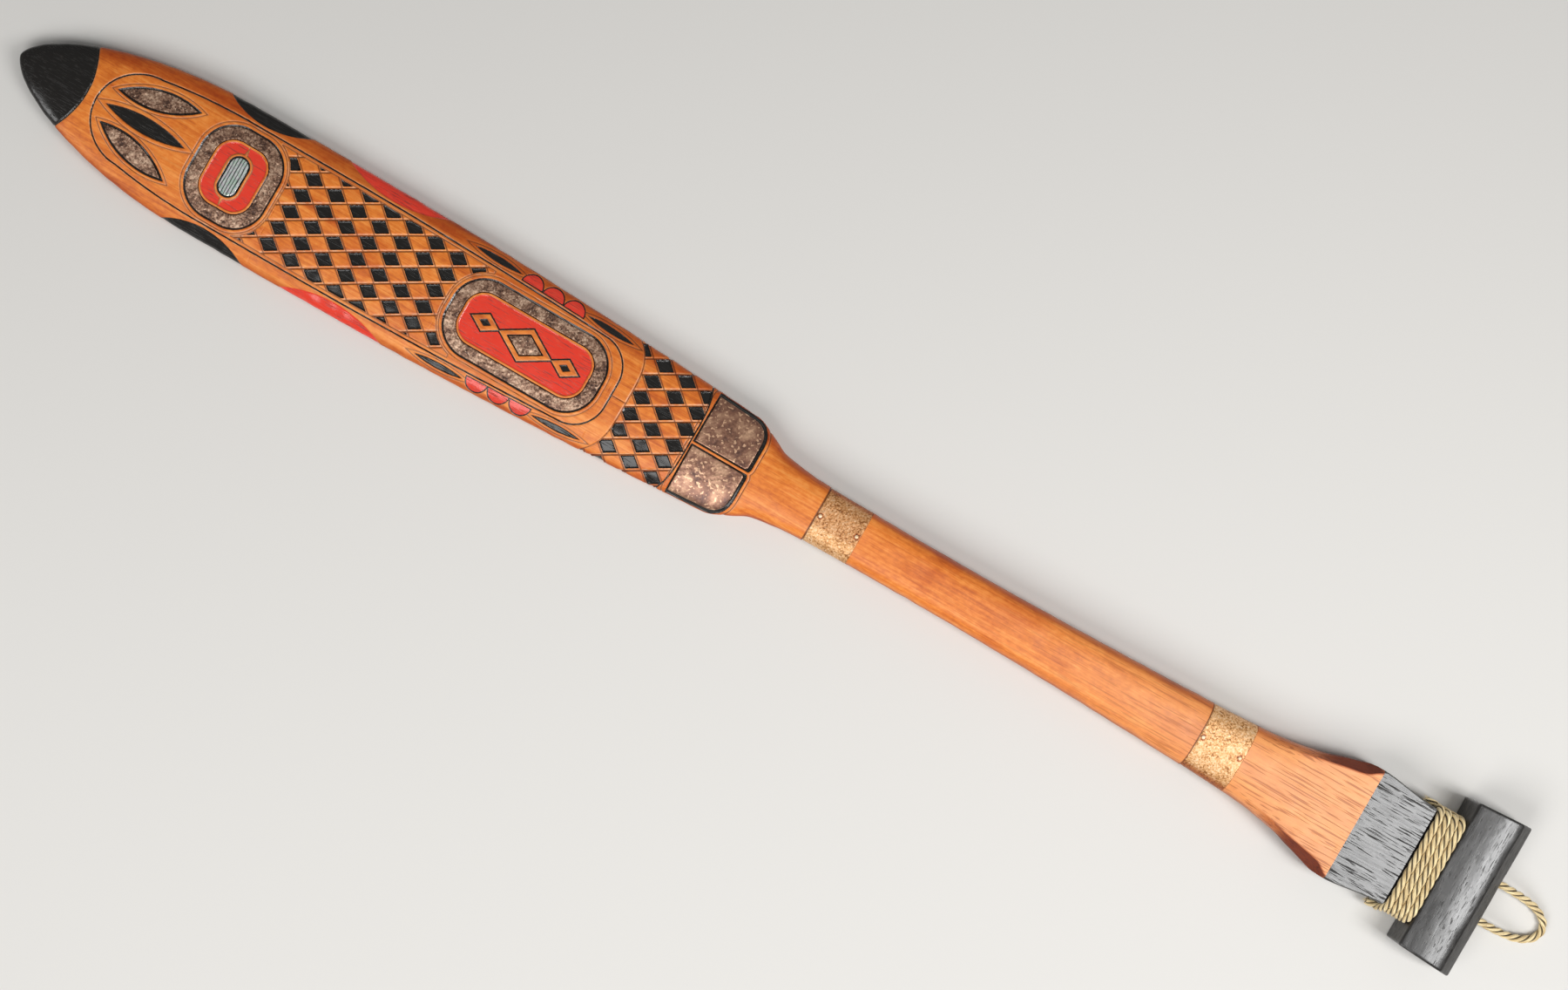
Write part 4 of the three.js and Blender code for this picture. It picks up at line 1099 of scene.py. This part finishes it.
def laid_rope(route, diameter, lay, taper=0.0):
    """Three strands laid left-handed round a route in millimetres. Strand k runs at radius r about
    the route, turned by phase = k / 3 turn - length / lay, and each is a round tube. taper thins
    both ends over that length. Returns each strand's grid with how deep its points lie, and the
    route."""
    route = smoothed(resample(route, ROPE_STEP), 12)
    out, across = moving_frame(route)
    run = np.arange(len(route)) * ROPE_STEP
    radius = diameter / 2 * STRAND_SHARE
    deep = (1 - np.cos(np.arange(STRAND_SIDES) / STRAND_SIDES * TURN)) / 2
    strands = []
    for strand in range(STRANDS):
        phase = (strand / STRANDS * TURN - run / lay * TURN)[:, None]
        away = out * np.cos(phase) + across * np.sin(phase)
        centre = route + away * (diameter / 2 - radius)
        forward = unit(np.gradient(centre, axis=0))
        up = unit(away - forward * np.einsum("ij,ij->i", away, forward)[:, None])
        swell = radius * (1 + 0.05 * np.sin(run / 5.3 + strand))
        if taper:
            swell = swell * (0.55 + 0.45 * np.clip(np.minimum(run, run[-1] - run) / taper, 0, 1))
        strands.append((tube(centre, up, np.cross(forward, up), swell, STRAND_SIDES), deep))
    return strands, route


def frayed_end(at, direction, seed, count=16, reach=2.6, radius=0.16):
    """Loose fibres at the cut end of a rope: thin bent tubes that fan out from it."""
    random = np.random.default_rng(seed)
    direction = unit(np.array(direction, float))
    share = np.linspace(0, 1, 8)[:, None]
    fibres = []
    for _ in range(count):
        lean = random.normal(size=3) * 0.34
        droop = random.normal(size=3) * 0.6
        extent = reach * random.uniform(0.45, 1.0)
        start = at + random.normal(size=3) * 0.55
        line = start + share * extent * (direction + lean) + share ** 2 * droop
        fibres.append((tube(line, *moving_frame(line), radius * (1.1 - share[:, 0]), 5), 0.2))
    return fibres


def rope_piece(name, node, strands):
    """One mesh of strands and loose fibres, each with how deep its points lie in the rope."""
    pieces = [
        skin(name, to_points(*np.moveaxis(grid, -1, 0)), {"deep": deep}, (ROPE_STEP * MM, 0.5 * MM))
        for grid, deep in strands]
    with bpy.context.temp_override(
            active_object=pieces[0], selected_objects=pieces, selected_editable_objects=pieces):
        bpy.ops.object.join()
    pieces[0].name = name
    finish_piece(pieces[0], "laid_hemp", node)
    return pieces[0]


def lashing_route(settings):
    """One rope: a tail along the block's side, a bend, then turns round the neck. Each turn crosses
    the front square and moves on to the next one behind the neck."""
    diameter, pitch = settings.diameter / MM, settings.pitch / MM
    offset = 2 * GAP + diameter / 2
    radius = SEAT["corner"] + offset
    side = SEAT["width"] / 2 + offset - radius
    top = SEAT["top"] + offset - radius
    bottom = SEAT["bottom"] - offset + radius
    first = BLOCK_END + LASHING_START + diameter / 2
    tail_length, bend_radius, tail_height = 6.5, 5, 8.5
    turn = np.linspace(0, QUARTER, 6)[1:]
    start_along = np.linspace(first - tail_length, first - bend_radius, 5)
    along = np.concatenate([start_along, first - bend_radius * (1 - np.sin(turn))])
    rise = np.concatenate([np.zeros(5), bend_radius * (1 - np.cos(turn))])
    parts = [np.stack([along, -half_width(along) - offset, tail_height + rise], axis=-1)]

    def corner(across, up, start, stop, along):
        angle = np.linspace(start, stop, 8) * QUARTER
        parts.append(np.stack([
            np.full(8, along), across + radius * np.cos(angle), up + radius * np.sin(angle)], axis=-1))

    for number in range(settings.turns):
        along = first + number * pitch
        corner(-side, top, 2, 1, along)
        corner(side, top, 1, 0, along)
        corner(side, bottom, 0, -1, along)
        if number < settings.turns - 1:
            parts.append(np.array([[along, 0, bottom - radius]]))
            corner(-side, bottom, -1, -2, along + pitch)
    parts.append(np.array([[along, 3 + diameter, bottom - radius], [along, 3, bottom - radius]]))
    return np.concatenate(parts)


def start_route(settings):
    """The rope's short start, tucked under the first turn and lying along the block's other side."""
    diameter = settings.diameter / MM
    first = BLOCK_END + LASHING_START + diameter / 2
    along = np.linspace(first - 7.5, first - 1.5, 6)
    out = half_width(along) + 2 * GAP + diameter / 2 - 0.6
    return np.stack([along, out, np.linspace(14.0, 17.0, 6)], axis=-1)


class PADDLE_OT_rope_loop(bpy.types.Operator):
    """Make the laid rope of the hanging loop"""

    bl_idname = "paddle.rope_loop"
    bl_label = "Rope loop"

    def execute(self, context):
        settings = context.scene.paddle_rope
        route = through(np.array(LOOP_ROUTE) + (TOTAL, 0, 0))
        strands, line = laid_rope(route, settings.loop_diameter / MM, settings.lay / MM)
        piece = rope_piece("loop_rope", "rope_loop", strands)
        path = to_points(*line.T)
        return {"FINISHED"}


class PADDLE_OT_rope_lashing(bpy.types.Operator):
    """Make the laid rope of the lashing, with its frayed tails"""

    bl_idname = "paddle.rope_lashing"
    bl_label = "Rope lashing"

    def execute(self, context):
        settings = context.scene.paddle_rope
        diameter, lay = settings.diameter / MM, settings.lay / MM
        turns, line = laid_rope(lashing_route(settings), diameter, lay)
        start, start_line = laid_rope(start_route(settings), diameter * 0.8, lay, taper=4)
        rope_piece("lashing_rope", "rope_lashing", [
            *turns, *start, *frayed_end(line[0], (-1, -0.12, -0.1), seed=3),
            *frayed_end(start_line[0], (-1, 0.1, 0), seed=8, count=14)])
        return {"FINISHED"}


# Wood

CELL = 0.45
FRONT_COLUMNS = 204
BACK_COLUMNS = 36
SHAFT_COLUMNS = 160
TIP_ROWS = 46
TIP_REACH = 14
BACK_BLACK_END = 50


def blade_columns():
    """Turns round the blade's section, even in length over the front and coarse behind."""
    fine = np.linspace(0, np.pi, 4000)
    run = run_lengths(np.stack([43 * np.cos(fine), 10 * np.sin(fine)], axis=-1))
    front = np.interp(np.linspace(0, run[-1], FRONT_COLUMNS + 1), run, fine)
    return np.concatenate([front, np.linspace(np.pi, TURN, BACK_COLUMNS + 1)[1:-1]])


def blade_piece(name, start, end, wood, carving):
    """A length of the blade's wood: the oval section, pushed in along its normal by the cuts and the
    tool's ripple, which dies out at the seams. Rows crowd towards the tip. The carving fades where
    the blade turns under, the paint wraps a little further, and only the black tip goes all round."""
    rows = int(round((end - start) / CELL)) + 1
    along = np.linspace(start, end, rows)
    if start == 0:
        near = TIP_REACH * np.linspace(0, 1, TIP_ROWS)[1:] ** 2.2
        along = np.concatenate([near, np.linspace(TIP_REACH, end, rows - TIP_ROWS)[1:]])
    grid, turn = np.meshgrid(along, blade_columns(), indexing="ij")
    y, z = section(grid, turn)
    base = to_points(grid, y, z)
    cuts = carve_blade(grid, y, carving)
    front = smooth_step(-0.22, 0.05, np.sin(turn))
    uneven = ripple(base, 0.011, 5) * wood.ripple
    uneven[-1] = 0
    if start > 0:
        uneven[0] = 0
    points = base + outward(base) * (uneven - cuts.depth * MM * front)[..., None]
    points[..., 2] = np.maximum(points[..., 2], 0)
    behind = 99 * (1 - smooth_step(-0.5, -0.42, np.sin(turn)))
    # Painted shade in the cuts and at the blade's end beside the first band, painted highlights on the
    # cuts' slopes, painted shade along the sides
    fields = {
        "black": cuts.black + np.where(grid < BACK_BLACK_END, 0, behind), "red": cuts.red + behind,
        "stain": np.minimum(cuts.stain + FAR * (1 - front), BLADE_SEAMS[-1] - 0.5 - grid),
        "rub": cuts.rub + FAR * (1 - front), "soak": painted_side_shade(turn)}
    return skin(name, points, fields, seams=72)


class PADDLE_OT_blade(bpy.types.Operator):
    """Make the carved and painted wood of the blade, in four lengths"""

    bl_idname = "paddle.blade"
    bl_label = "Blade"

    def execute(self, context):
        wood, carving = context.scene.paddle_wood, context.scene.paddle_carving
        names = ("blade_wood_tip", "blade_wood_lattice", "blade_wood_ring", "blade_wood_root")
        for name, start, end in zip(names, BLADE_SEAMS, BLADE_SEAMS[1:]):
            piece = blade_piece(name, start, end, wood, carving)
            finish_piece(piece, "oiled_painted_cedar", "paddle_body")
        return {"FINISHED"}


def seat_section(turn, width, bottom, top, corner):
    """A rounded rectangle at a turn from +Y upwards: each quarter turn sweeps one corner."""
    quarter, right, upper = corner_signs(turn + 1e-9)
    share = (turn / QUARTER - quarter) / (1 - 4 / SHAFT_COLUMNS)
    sweep = (quarter + np.clip(share, 0, 1)) * QUARTER
    y = right * (width / 2 - corner) + corner * np.cos(sweep)
    z = (top + bottom) / 2 + upper * ((top - bottom) / 2 - corner) + corner * np.sin(sweep)
    return y, z


class PADDLE_OT_shaft(bpy.types.Operator):
    """Make the wood of the shaft, the flare, the painted block and the neck"""

    bl_idname = "paddle.shaft"
    bl_label = "Shaft"

    def execute(self, context):
        wood = context.scene.paddle_wood
        bed = BAND_THICKNESS + GAP + BAND_SINK / 2
        (first, first_end), (second, second_end) = (
            (start - GAP, start + BAND_WIDTH + GAP) for start in BAND_STARTS)
        spans = (
            (first, first_end, 20, bed), (first_end, second, 190, 0), (second, second_end, 20, bed),
            (second_end, FLARE_AT - 5.5, 60, 0), (FLARE_AT - 5.5, FLARE_AT + 5.5, 14, 0),
            (FLARE_AT + 5.5, BLOCK_END, 30, 0))
        along = np.concatenate([np.linspace(a, b, count) for a, b, count, _ in spans])
        inset = np.concatenate([np.full(count, depth) for _, _, count, depth in spans])[:, None]
        turn = np.arange(SHAFT_COLUMNS) / SHAFT_COLUMNS * TURN
        grid, turns = np.meshgrid(along, turn, indexing="ij")
        points = to_points(grid, *section(grid, turns, inset))
        steady = np.minimum(1, np.abs(grid - BLOCK_END) / 5)
        calm = np.where(inset > 0, 0, np.where(grid > FLARE_AT, 0.25, 1)) * steady
        points += outward(points) * (ripple(points, 0.013, 6) * wood.ripple * calm)[..., None]
        neck, neck_turns = np.meshgrid((BLOCK_END, GRIP_AT - GAP), turn, indexing="ij")
        neck_points = to_points(neck, *seat_section(neck_turns, **SEAT))
        rows = np.concatenate([grid, neck])
        beds = [np.abs(rows - (start + BAND_WIDTH / 2 - 1.1)) for start in BAND_STARTS]
        share = side_share(turns)
        length = smooth_step(846, 884, grid) * smooth_step(912, 903, grid)
        # Painted shade on the flare's facets
        facet = (share < SIDE_SHARE + FACET_SHARE + 0.01) * length
        soak = np.concatenate([np.maximum(facet, painted_side_shade(turns)), np.zeros(neck.shape)])
        # Painted shade lies in the bands' beds beside the bands, on the flare's facets and along the
        # sides
        fields = {
            "black": PAINT_AT - rows, "red": FAR, "rub": FAR, "soak": soak,
            "stain": np.minimum(FAR, np.minimum(*beds) - BAND_WIDTH / 2 + 0.5)}
        piece = skin("shaft_wood", np.concatenate([points, neck_points]), fields, seams=24)
        finish_piece(piece, "oiled_painted_cedar", "paddle_body")
        return {"FINISHED"}


# Let-in plates

DENT_WAVE = 0.0028


def plate_piece(name, outline, thickness, dent, seed, crown=0.0):
    """A let-in plate with one outline. Rings run from its middle to its edge on top, round the edge
    and back below: place = middle + share (outline - middle), sunk under the dome by the sink less
    a crown (1 - share^2) and dented by a smooth random field."""
    middle = outline.mean(axis=0)
    shares = np.concatenate([
        [0.004], np.linspace(0, 1, 26)[1:-1] * 0.988, 1 - np.array([1, 0.35, 0]) * 0.012,
        [1, 0.7, 0.3, 0.004]])
    below = INLAY_SINK + np.array([*np.zeros(25), 0.0375, 0.125, 0.25, *[thickness] * 4])
    number = np.arange(len(shares))
    lift = crown * (1 - shares ** 2) * (number < 28)
    plan = middle + shares[:, None, None] * (outline - middle)[None, :, :]
    points = on_blade(plan, (below - lift)[:, None])
    points[..., 2] += ripple(points, DENT_WAVE, seed) * (dent * (number < 26))[:, None]
    return skin(name, points, seams=60)


def ring_piece(name, at, length, width, corner, rim, dent, seed):
    """A let-in ring: a flat bar with rounded edges carried round a rounded box. Columns run round
    the bar's section, from its outer edge over the top to the inner edge and back below."""
    shares = [0, 0.02, 0.06, *np.linspace(0.12, 0.88, 16), 0.94, 0.98, 1, 1, 0.5, 0]
    below = np.array([0.3, 0.12, 0.03, *np.zeros(16), 0.03, 0.12, 0.3, 1, 1, 1]) * COPPER
    top = np.array([0, 0, 0.6, *np.ones(16), 0.6, 0, 0, 0, 0, 0])
    plan = np.stack([
        box_outline(at, length - 2 * rim * share, width - 2 * rim * share, corner - rim * share, 420)
        for share in shares], axis=1)
    points = on_blade(plan, INLAY_SINK + below[None, :])
    points[..., 2] += ripple(points, DENT_WAVE, seed) * dent * top[None, :]
    return skin(name, points, wrap=True, seams=60)


class PADDLE_OT_inlays(bpy.types.Operator):
    """Make the copper and shell plates let into the blade"""

    bl_idname = "paddle.inlays"
    bl_label = "Inlays"

    def execute(self, context):
        dent = context.scene.paddle_copper.dent_depth
        rings = (("small_ring", SMALL_RING, SMALL_RIM, 11), ("long_ring", LONG_RING, LONG_RIM, 12))
        for name, ring, rim, seed in rings:
            piece = ring_piece(f"{name}_copper", **ring, rim=rim, dent=dent, seed=seed)
            finish_piece(piece, "aged_hammered_copper", f"{name}_inlay")
        aged, sheet = ("aged_hammered_copper", dent), ("patinated_copper_sheet", dent * 0.35)
        plates = (
            ("lozenge_copper", "lozenge_inlay", lozenge_outline(), 13, aged),
            ("leaf_copper_left", "leaf_inlay_left", leaf_outline(1), 14, aged),
            ("leaf_copper_right", "leaf_inlay_right", leaf_outline(-1), 15, aged),
            ("root_copper_left", "root_plate_left", evenly(plate_outline(1), 200), 16, sheet),
            ("root_copper_right", "root_plate_right", evenly(plate_outline(-1), 200), 17, sheet))
        for name, node, outline, seed, (finish, depth) in plates:
            piece = plate_piece(name, outline, COPPER, depth, seed)
            finish_piece(piece, finish, node)
        shell = plate_piece(
            "shell_pearl", box_outline(**SHELL_PLATE, count=120), SHELL, 0, 1, crown=0.35)
        finish_piece(shell, "polished_abalone", "shell_inlay")
        return {"FINISHED"}


# Bands and tacks


class PADDLE_OT_bands(bpy.types.Operator):
    """Make the two hammered copper bands round the shaft"""

    bl_idname = "paddle.bands"
    bl_label = "Bands"

    def execute(self, context):
        """Columns run over a band from edge to edge and back inside it, and rows from seam to seam
        round the shaft. The band lies on the shaft's section, tilted by its sink, with rounded edges.
        It gets painted shadow round the tacks, and painted shade along one side and all over the first
        band."""
        settings = context.scene.paddle_copper
        share = np.concatenate([np.linspace(0, 1, 58), np.linspace(1, 0, 8)])
        outer = np.arange(len(share)) < 58
        rounded = np.clip(np.minimum(share, 1 - share) * BAND_WIDTH / 0.4, 0, 1)
        face = np.where(outer, 0.2 * (1 - rounded) ** 2, BAND_THICKNESS)
        for number, node in enumerate(("blade_end_band", "grip_end_band")):
            start = BAND_STARTS[number]
            along = start + share * (BAND_WIDTH + BAND_COVER)
            seam = BAND_SEAM / 2 / half_width(start)
            turn = np.linspace(3 * QUARTER + seam, 3 * QUARTER + TURN - seam, 231) % TURN
            turns, places = np.meshgrid(turn, along, indexing="ij")
            y, z = section(places, turns, BAND_SINK * (1 - share) + face)
            points = to_points(places, y, z)
            middle = to_points(places, 0, (top_rail(places) + bottom_rail(places)) / 2)
            dents = ripple(points, settings.dent * 0.9, 21 + number) * settings.dent_depth
            points = points + unit(points - middle) * (dents * 0.6 * outer * rounded)[..., None]
            tacks = (start + TACK_INSET, start + BAND_WIDTH - TACK_INSET)
            reach = np.min([np.hypot(places - tack, y) for tack in tacks], axis=0)
            # Painted shadow in a ring round each tack head, painted shade along one side, and painted
            # shade over the first band, less on its lower side
            soil = smooth_step(0.55, 0.15, np.abs(reach - 1.5)) * (z > edge_rail(places))
            shaded_side = (y < 0) if number else (y > 0)
            band_shade_mask = smooth_step(0.65, 0.2, side_share(turns)) * np.where(shaded_side, 0.72, 0.12)
            first_band_shade = np.where(y > -6, 0.3, 0.12) * (1 - number)
            soil = np.maximum.reduce([soil, band_shade_mask, first_band_shade])
            piece = skin(f"{node}_copper", points, {"soil": soil})
            finish_piece(piece, "bright_hammered_copper", node)
        return {"FINISHED"}


class PADDLE_OT_tacks(bpy.types.Operator):
    """Make the copper tacks of the bands"""

    bl_idname = "paddle.tacks"
    bl_label = "Tacks"

    def execute(self, context):
        """Each tack is turned from one profile: a domed head, its flat underside and a pointed shank.
        A band has two in front, near its edges, and two behind, beside its seam."""
        rise = np.linspace(0, QUARTER, 7)
        head_radius, head_height, shank_radius, shank_length, point = 1.2, 0.6, 0.6, 6, 1.5
        radius = np.array([
            0.02, *head_radius * np.sin(rise[1:]), head_radius, shank_radius, shank_radius, 0.05])
        height = np.array([
            *head_height * np.cos(rise), -0.02, -0.04, point - shank_length, -shank_length])
        turn = np.arange(24) / 24 * TURN
        number = 0
        for start in BAND_STARTS:
            for along, across, up in (
                    (TACK_INSET, 0, 1), (BAND_WIDTH - TACK_INSET, 0, 1),
                    (BAND_WIDTH / 2, 3, -1), (BAND_WIDTH / 2, -3, -1)):
                number += 1
                sunk = BAND_SINK * (1 - along / BAND_WIDTH)
                rail_at = top_rail if up > 0 else bottom_rail
                base = rail_at(start + along) + up * (GAP - sunk)
                points = to_points(
                    start + along + radius[:, None] * np.cos(turn),
                    across + radius[:, None] * np.sin(turn), (base + up * height)[:, None])
                piece = skin(f"tack_{number}", points)
                finish_piece(piece, "burnished_tack_copper", f"band_tack_{number}")
        return {"FINISHED"}


# Crosspiece

GRIP_HALF = 50
GRIP_EDGE = 1.3
GRIP_TOP = 30
NEAR_TOP = 26.8
FAR_TOP = 28.4


def softened(corners, radius):
    """A closed outline with its corners rounded: near each corner the line follows a quadratic
    curve between the points a radius before and after it."""
    points = []
    for before, here, after in zip(np.roll(corners, 1, axis=0), corners, np.roll(corners, -1, axis=0)):
        back, onward = before - here, after - here
        reach = min(radius, np.linalg.norm(back) / 2.2, np.linalg.norm(onward) / 2.2)
        points.append(bend(here + unit(back) * reach, here, here + unit(onward) * reach, 6))
    return np.concatenate(points)


def grip_outline():
    """The crosspiece's section: flat below, upright near side, domed top, bevelled far side."""
    near, far, bevel = GRIP_AT, TOTAL, 8
    crown = 2 * GRIP_TOP - (FAR_TOP + NEAR_TOP) / 2
    dome = bend((far - bevel, FAR_TOP), ((near + far) / 2, crown), (near, NEAR_TOP), 14)
    corners = np.array([(near, 0), (far - 4, 0), (far, 4), (far, 21), *dome])
    return evenly(softened(corners, 1.6), 230)


def loop_holes():
    """Round cutters for the two blind holes of the loop."""
    radius, depth = 2.7, 12
    turn = np.arange(40) / 40 * TURN
    along, turns = np.meshgrid((TOTAL - depth, TOTAL + 5.0), turn, indexing="ij")
    return [
        skin("loop_hole", to_points(
            along, side * HOLE_AT + radius * np.cos(turns), HOLE_AT + radius * np.sin(turns)))
        for side in (1, -1)]


def cut(piece, cutters):
    """Takes cutters out of a piece and deletes them."""
    for cutter in cutters:
        modifier = piece.modifiers.new("hole", "BOOLEAN")
        modifier.operation = "DIFFERENCE"
        modifier.solver = "EXACT"
        modifier.object = cutter
    evaluated = piece.evaluated_get(bpy.context.evaluated_depsgraph_get())
    whole, mesh = piece.data, bpy.data.meshes.new_from_object(evaluated)
    piece.modifiers.clear()
    piece.data = mesh
    bpy.data.meshes.remove(whole)
    mesh.name = piece.name
    mesh.set_sharp_from_angle(angle=np.radians(40))
    for cutter in cutters:
        bpy.data.objects.remove(cutter)


class PADDLE_OT_crosspiece(bpy.types.Operator):
    """Make the black crosspiece on the end"""

    bl_idname = "paddle.crosspiece"
    bl_label = "Crosspiece"

    def execute(self, context):
        """The section is carried across, drawn in at both ends to round their edges, a little
        shorter on the near side, and hewn: its upper part waves by a smooth random field."""
        outline = grip_outline()
        tangent = np.roll(outline, -1, axis=0) - np.roll(outline, 1, axis=0)
        normal = unit(np.stack([tangent[:, 1], -tangent[:, 0]], axis=-1))
        turn = np.linspace(0, QUARTER, 6)
        inner = np.linspace(-1, 1, 130)[1:-1] * (GRIP_HALF - GRIP_EDGE)
        end = GRIP_HALF - GRIP_EDGE * (1 - np.sin(turn))
        drawn_in = GRIP_EDGE * (1 - np.cos(turn))
        across = np.concatenate([-end[::-1], inner, end])
        inset = np.concatenate([drawn_in[::-1], np.zeros(len(inner)), drawn_in])
        plan = outline[None, :, :] - normal[None, :, :] * inset[:, None, None]
        near_share = np.clip((plan[..., 0] - GRIP_AT) / (TOTAL - GRIP_AT), 0, 1)
        narrow = (95.5 + 4.5 * near_share) / 100
        points = to_points(plan[..., 0], across[:, None] * narrow, plan[..., 1])
        stretched = points * (1, 0.35, 1)
        hewn = ripple(stretched, 0.009, 31) * 0.00004 + ripple(stretched, 0.004, 32) * 0.000015
        hewn = hewn * smooth_step(2, 6, plan[..., 1])
        points += np.insert(normal, 1, 0, axis=1)[None, :, :] * hewn[..., None]
        points[..., 2] = np.maximum(points[..., 2], 0)
        piece = skin("crosspiece_wood", points, seams=40)
        cut(piece, loop_holes())
        finish_piece(piece, "black_painted_wood", "cross_grip")
        return {"FINISHED"}


# Stage


class PADDLE_OT_stage(bpy.types.Operator):
    """Make the camera, the floor and the lamps"""

    bl_idname = "paddle.stage"
    bl_label = "Stage"

    def execute(self, context):
        """The camera looks straight down. Each lamp is a soft panel that faces the paddle's middle,
        with its place in metres and its two sides, and has the power of the same name."""
        scene, settings = context.scene, context.scene.paddle_stage
        camera = add_object("camera", bpy.data.cameras.new("camera"))
        camera.data.sensor_width = 36
        camera.data.lens = settings.lens
        camera.location = (settings.camera_along - TOTAL * MM / 2, 0, settings.camera_height)
        camera.rotation_euler = (0, 0, settings.turn)
        scene.camera = camera
        scene.view_settings.view_transform = "Standard"
        self.add_floor()
        for name, place, sides in (
                ("key", (-0.1, -0.9, 1.2), (0.9, 0.9)), ("fill", (0.2, 1.3, 1.3), (1.6, 1.6)),
                ("glare", (1.08, 0.02, 1.22), (0.34, 0.8)),
                ("sheen", (0.42, 0.02, 1.36), (0.3, 0.5)),
                ("side", (-0.95, -0.6, 0.4), (0.3, 0.3))):
            lamp = add_object(name, bpy.data.lights.new(name, "AREA"))
            lamp.data.shape = "RECTANGLE"
            lamp.data.size, lamp.data.size_y = sides
            lamp.data.energy = getattr(settings, name)
            lamp.location = place
            lamp.rotation_euler = (-Vector(place)).to_track_quat("-Z", "Y").to_euler()
        scene.world = bpy.data.worlds.new("studio")
        scene.world.use_nodes = True
        background = scene.world.node_tree.nodes["Background"]
        background.inputs["Color"].default_value = (1, 1, 1, 1)
        background.inputs["Strength"].default_value = settings.sky
        return {"FINISHED"}

    def add_floor(self):
        """A large flat sheet just under the paddle."""
        size, drop = 6.0, 0.0002
        corners = [(x * size, y * size, -drop) for x, y in ((-1, -1), (1, -1), (1, 1), (-1, 1))]
        mesh = bpy.data.meshes.new("floor")
        mesh.from_pydata(corners, [], [(0, 1, 2, 3)])
        mesh.materials.append(material_named("pale_floor"))
        add_object("floor", mesh)


# Panel and registration

OPERATORS = (
    PADDLE_OT_stage, PADDLE_OT_rope_loop, PADDLE_OT_rope_lashing, PADDLE_OT_blade,
    PADDLE_OT_shaft, PADDLE_OT_inlays, PADDLE_OT_bands, PADDLE_OT_tacks, PADDLE_OT_crosspiece)
SETTINGS = {
    "paddle_wood": PaddleWoodSettings, "paddle_carving": PaddleCarvingSettings,
    "paddle_copper": PaddleCopperSettings, "paddle_rope": PaddleRopeSettings,
    "paddle_stage": PaddleStageSettings}


class PADDLE_PT_panel(bpy.types.Panel):
    """Lists the paddle's settings and operators"""

    bl_idname = "PADDLE_PT_panel"
    bl_label = "Carved paddle"
    bl_space_type = "VIEW_3D"
    bl_region_type = "UI"
    bl_category = "Paddle"

    def draw(self, context):
        for operator in OPERATORS:
            self.layout.operator(operator.bl_idname)
        for name, group in SETTINGS.items():
            box = self.layout.box()
            for key in group.__annotations__:
                box.prop(getattr(context.scene, name), key)


CLASSES = (*SETTINGS.values(), *OPERATORS, PADDLE_PT_panel)


def register():
    for group in CLASSES:
        bpy.utils.register_class(group)
    for name, group in SETTINGS.items():
        setattr(bpy.types.Scene, name, bpy.props.PointerProperty(type=group))


def unregister():
    for name in SETTINGS:
        delattr(bpy.types.Scene, name)
    for group in reversed(CLASSES):
        bpy.utils.unregister_class(group)


def main():
    """Registers the classes and makes every piece."""
    register()
    for operator in OPERATORS:
        group, name = operator.bl_idname.split(".")
        getattr(getattr(bpy.ops, group), name)()


if __name__ == "__main__":
    main()
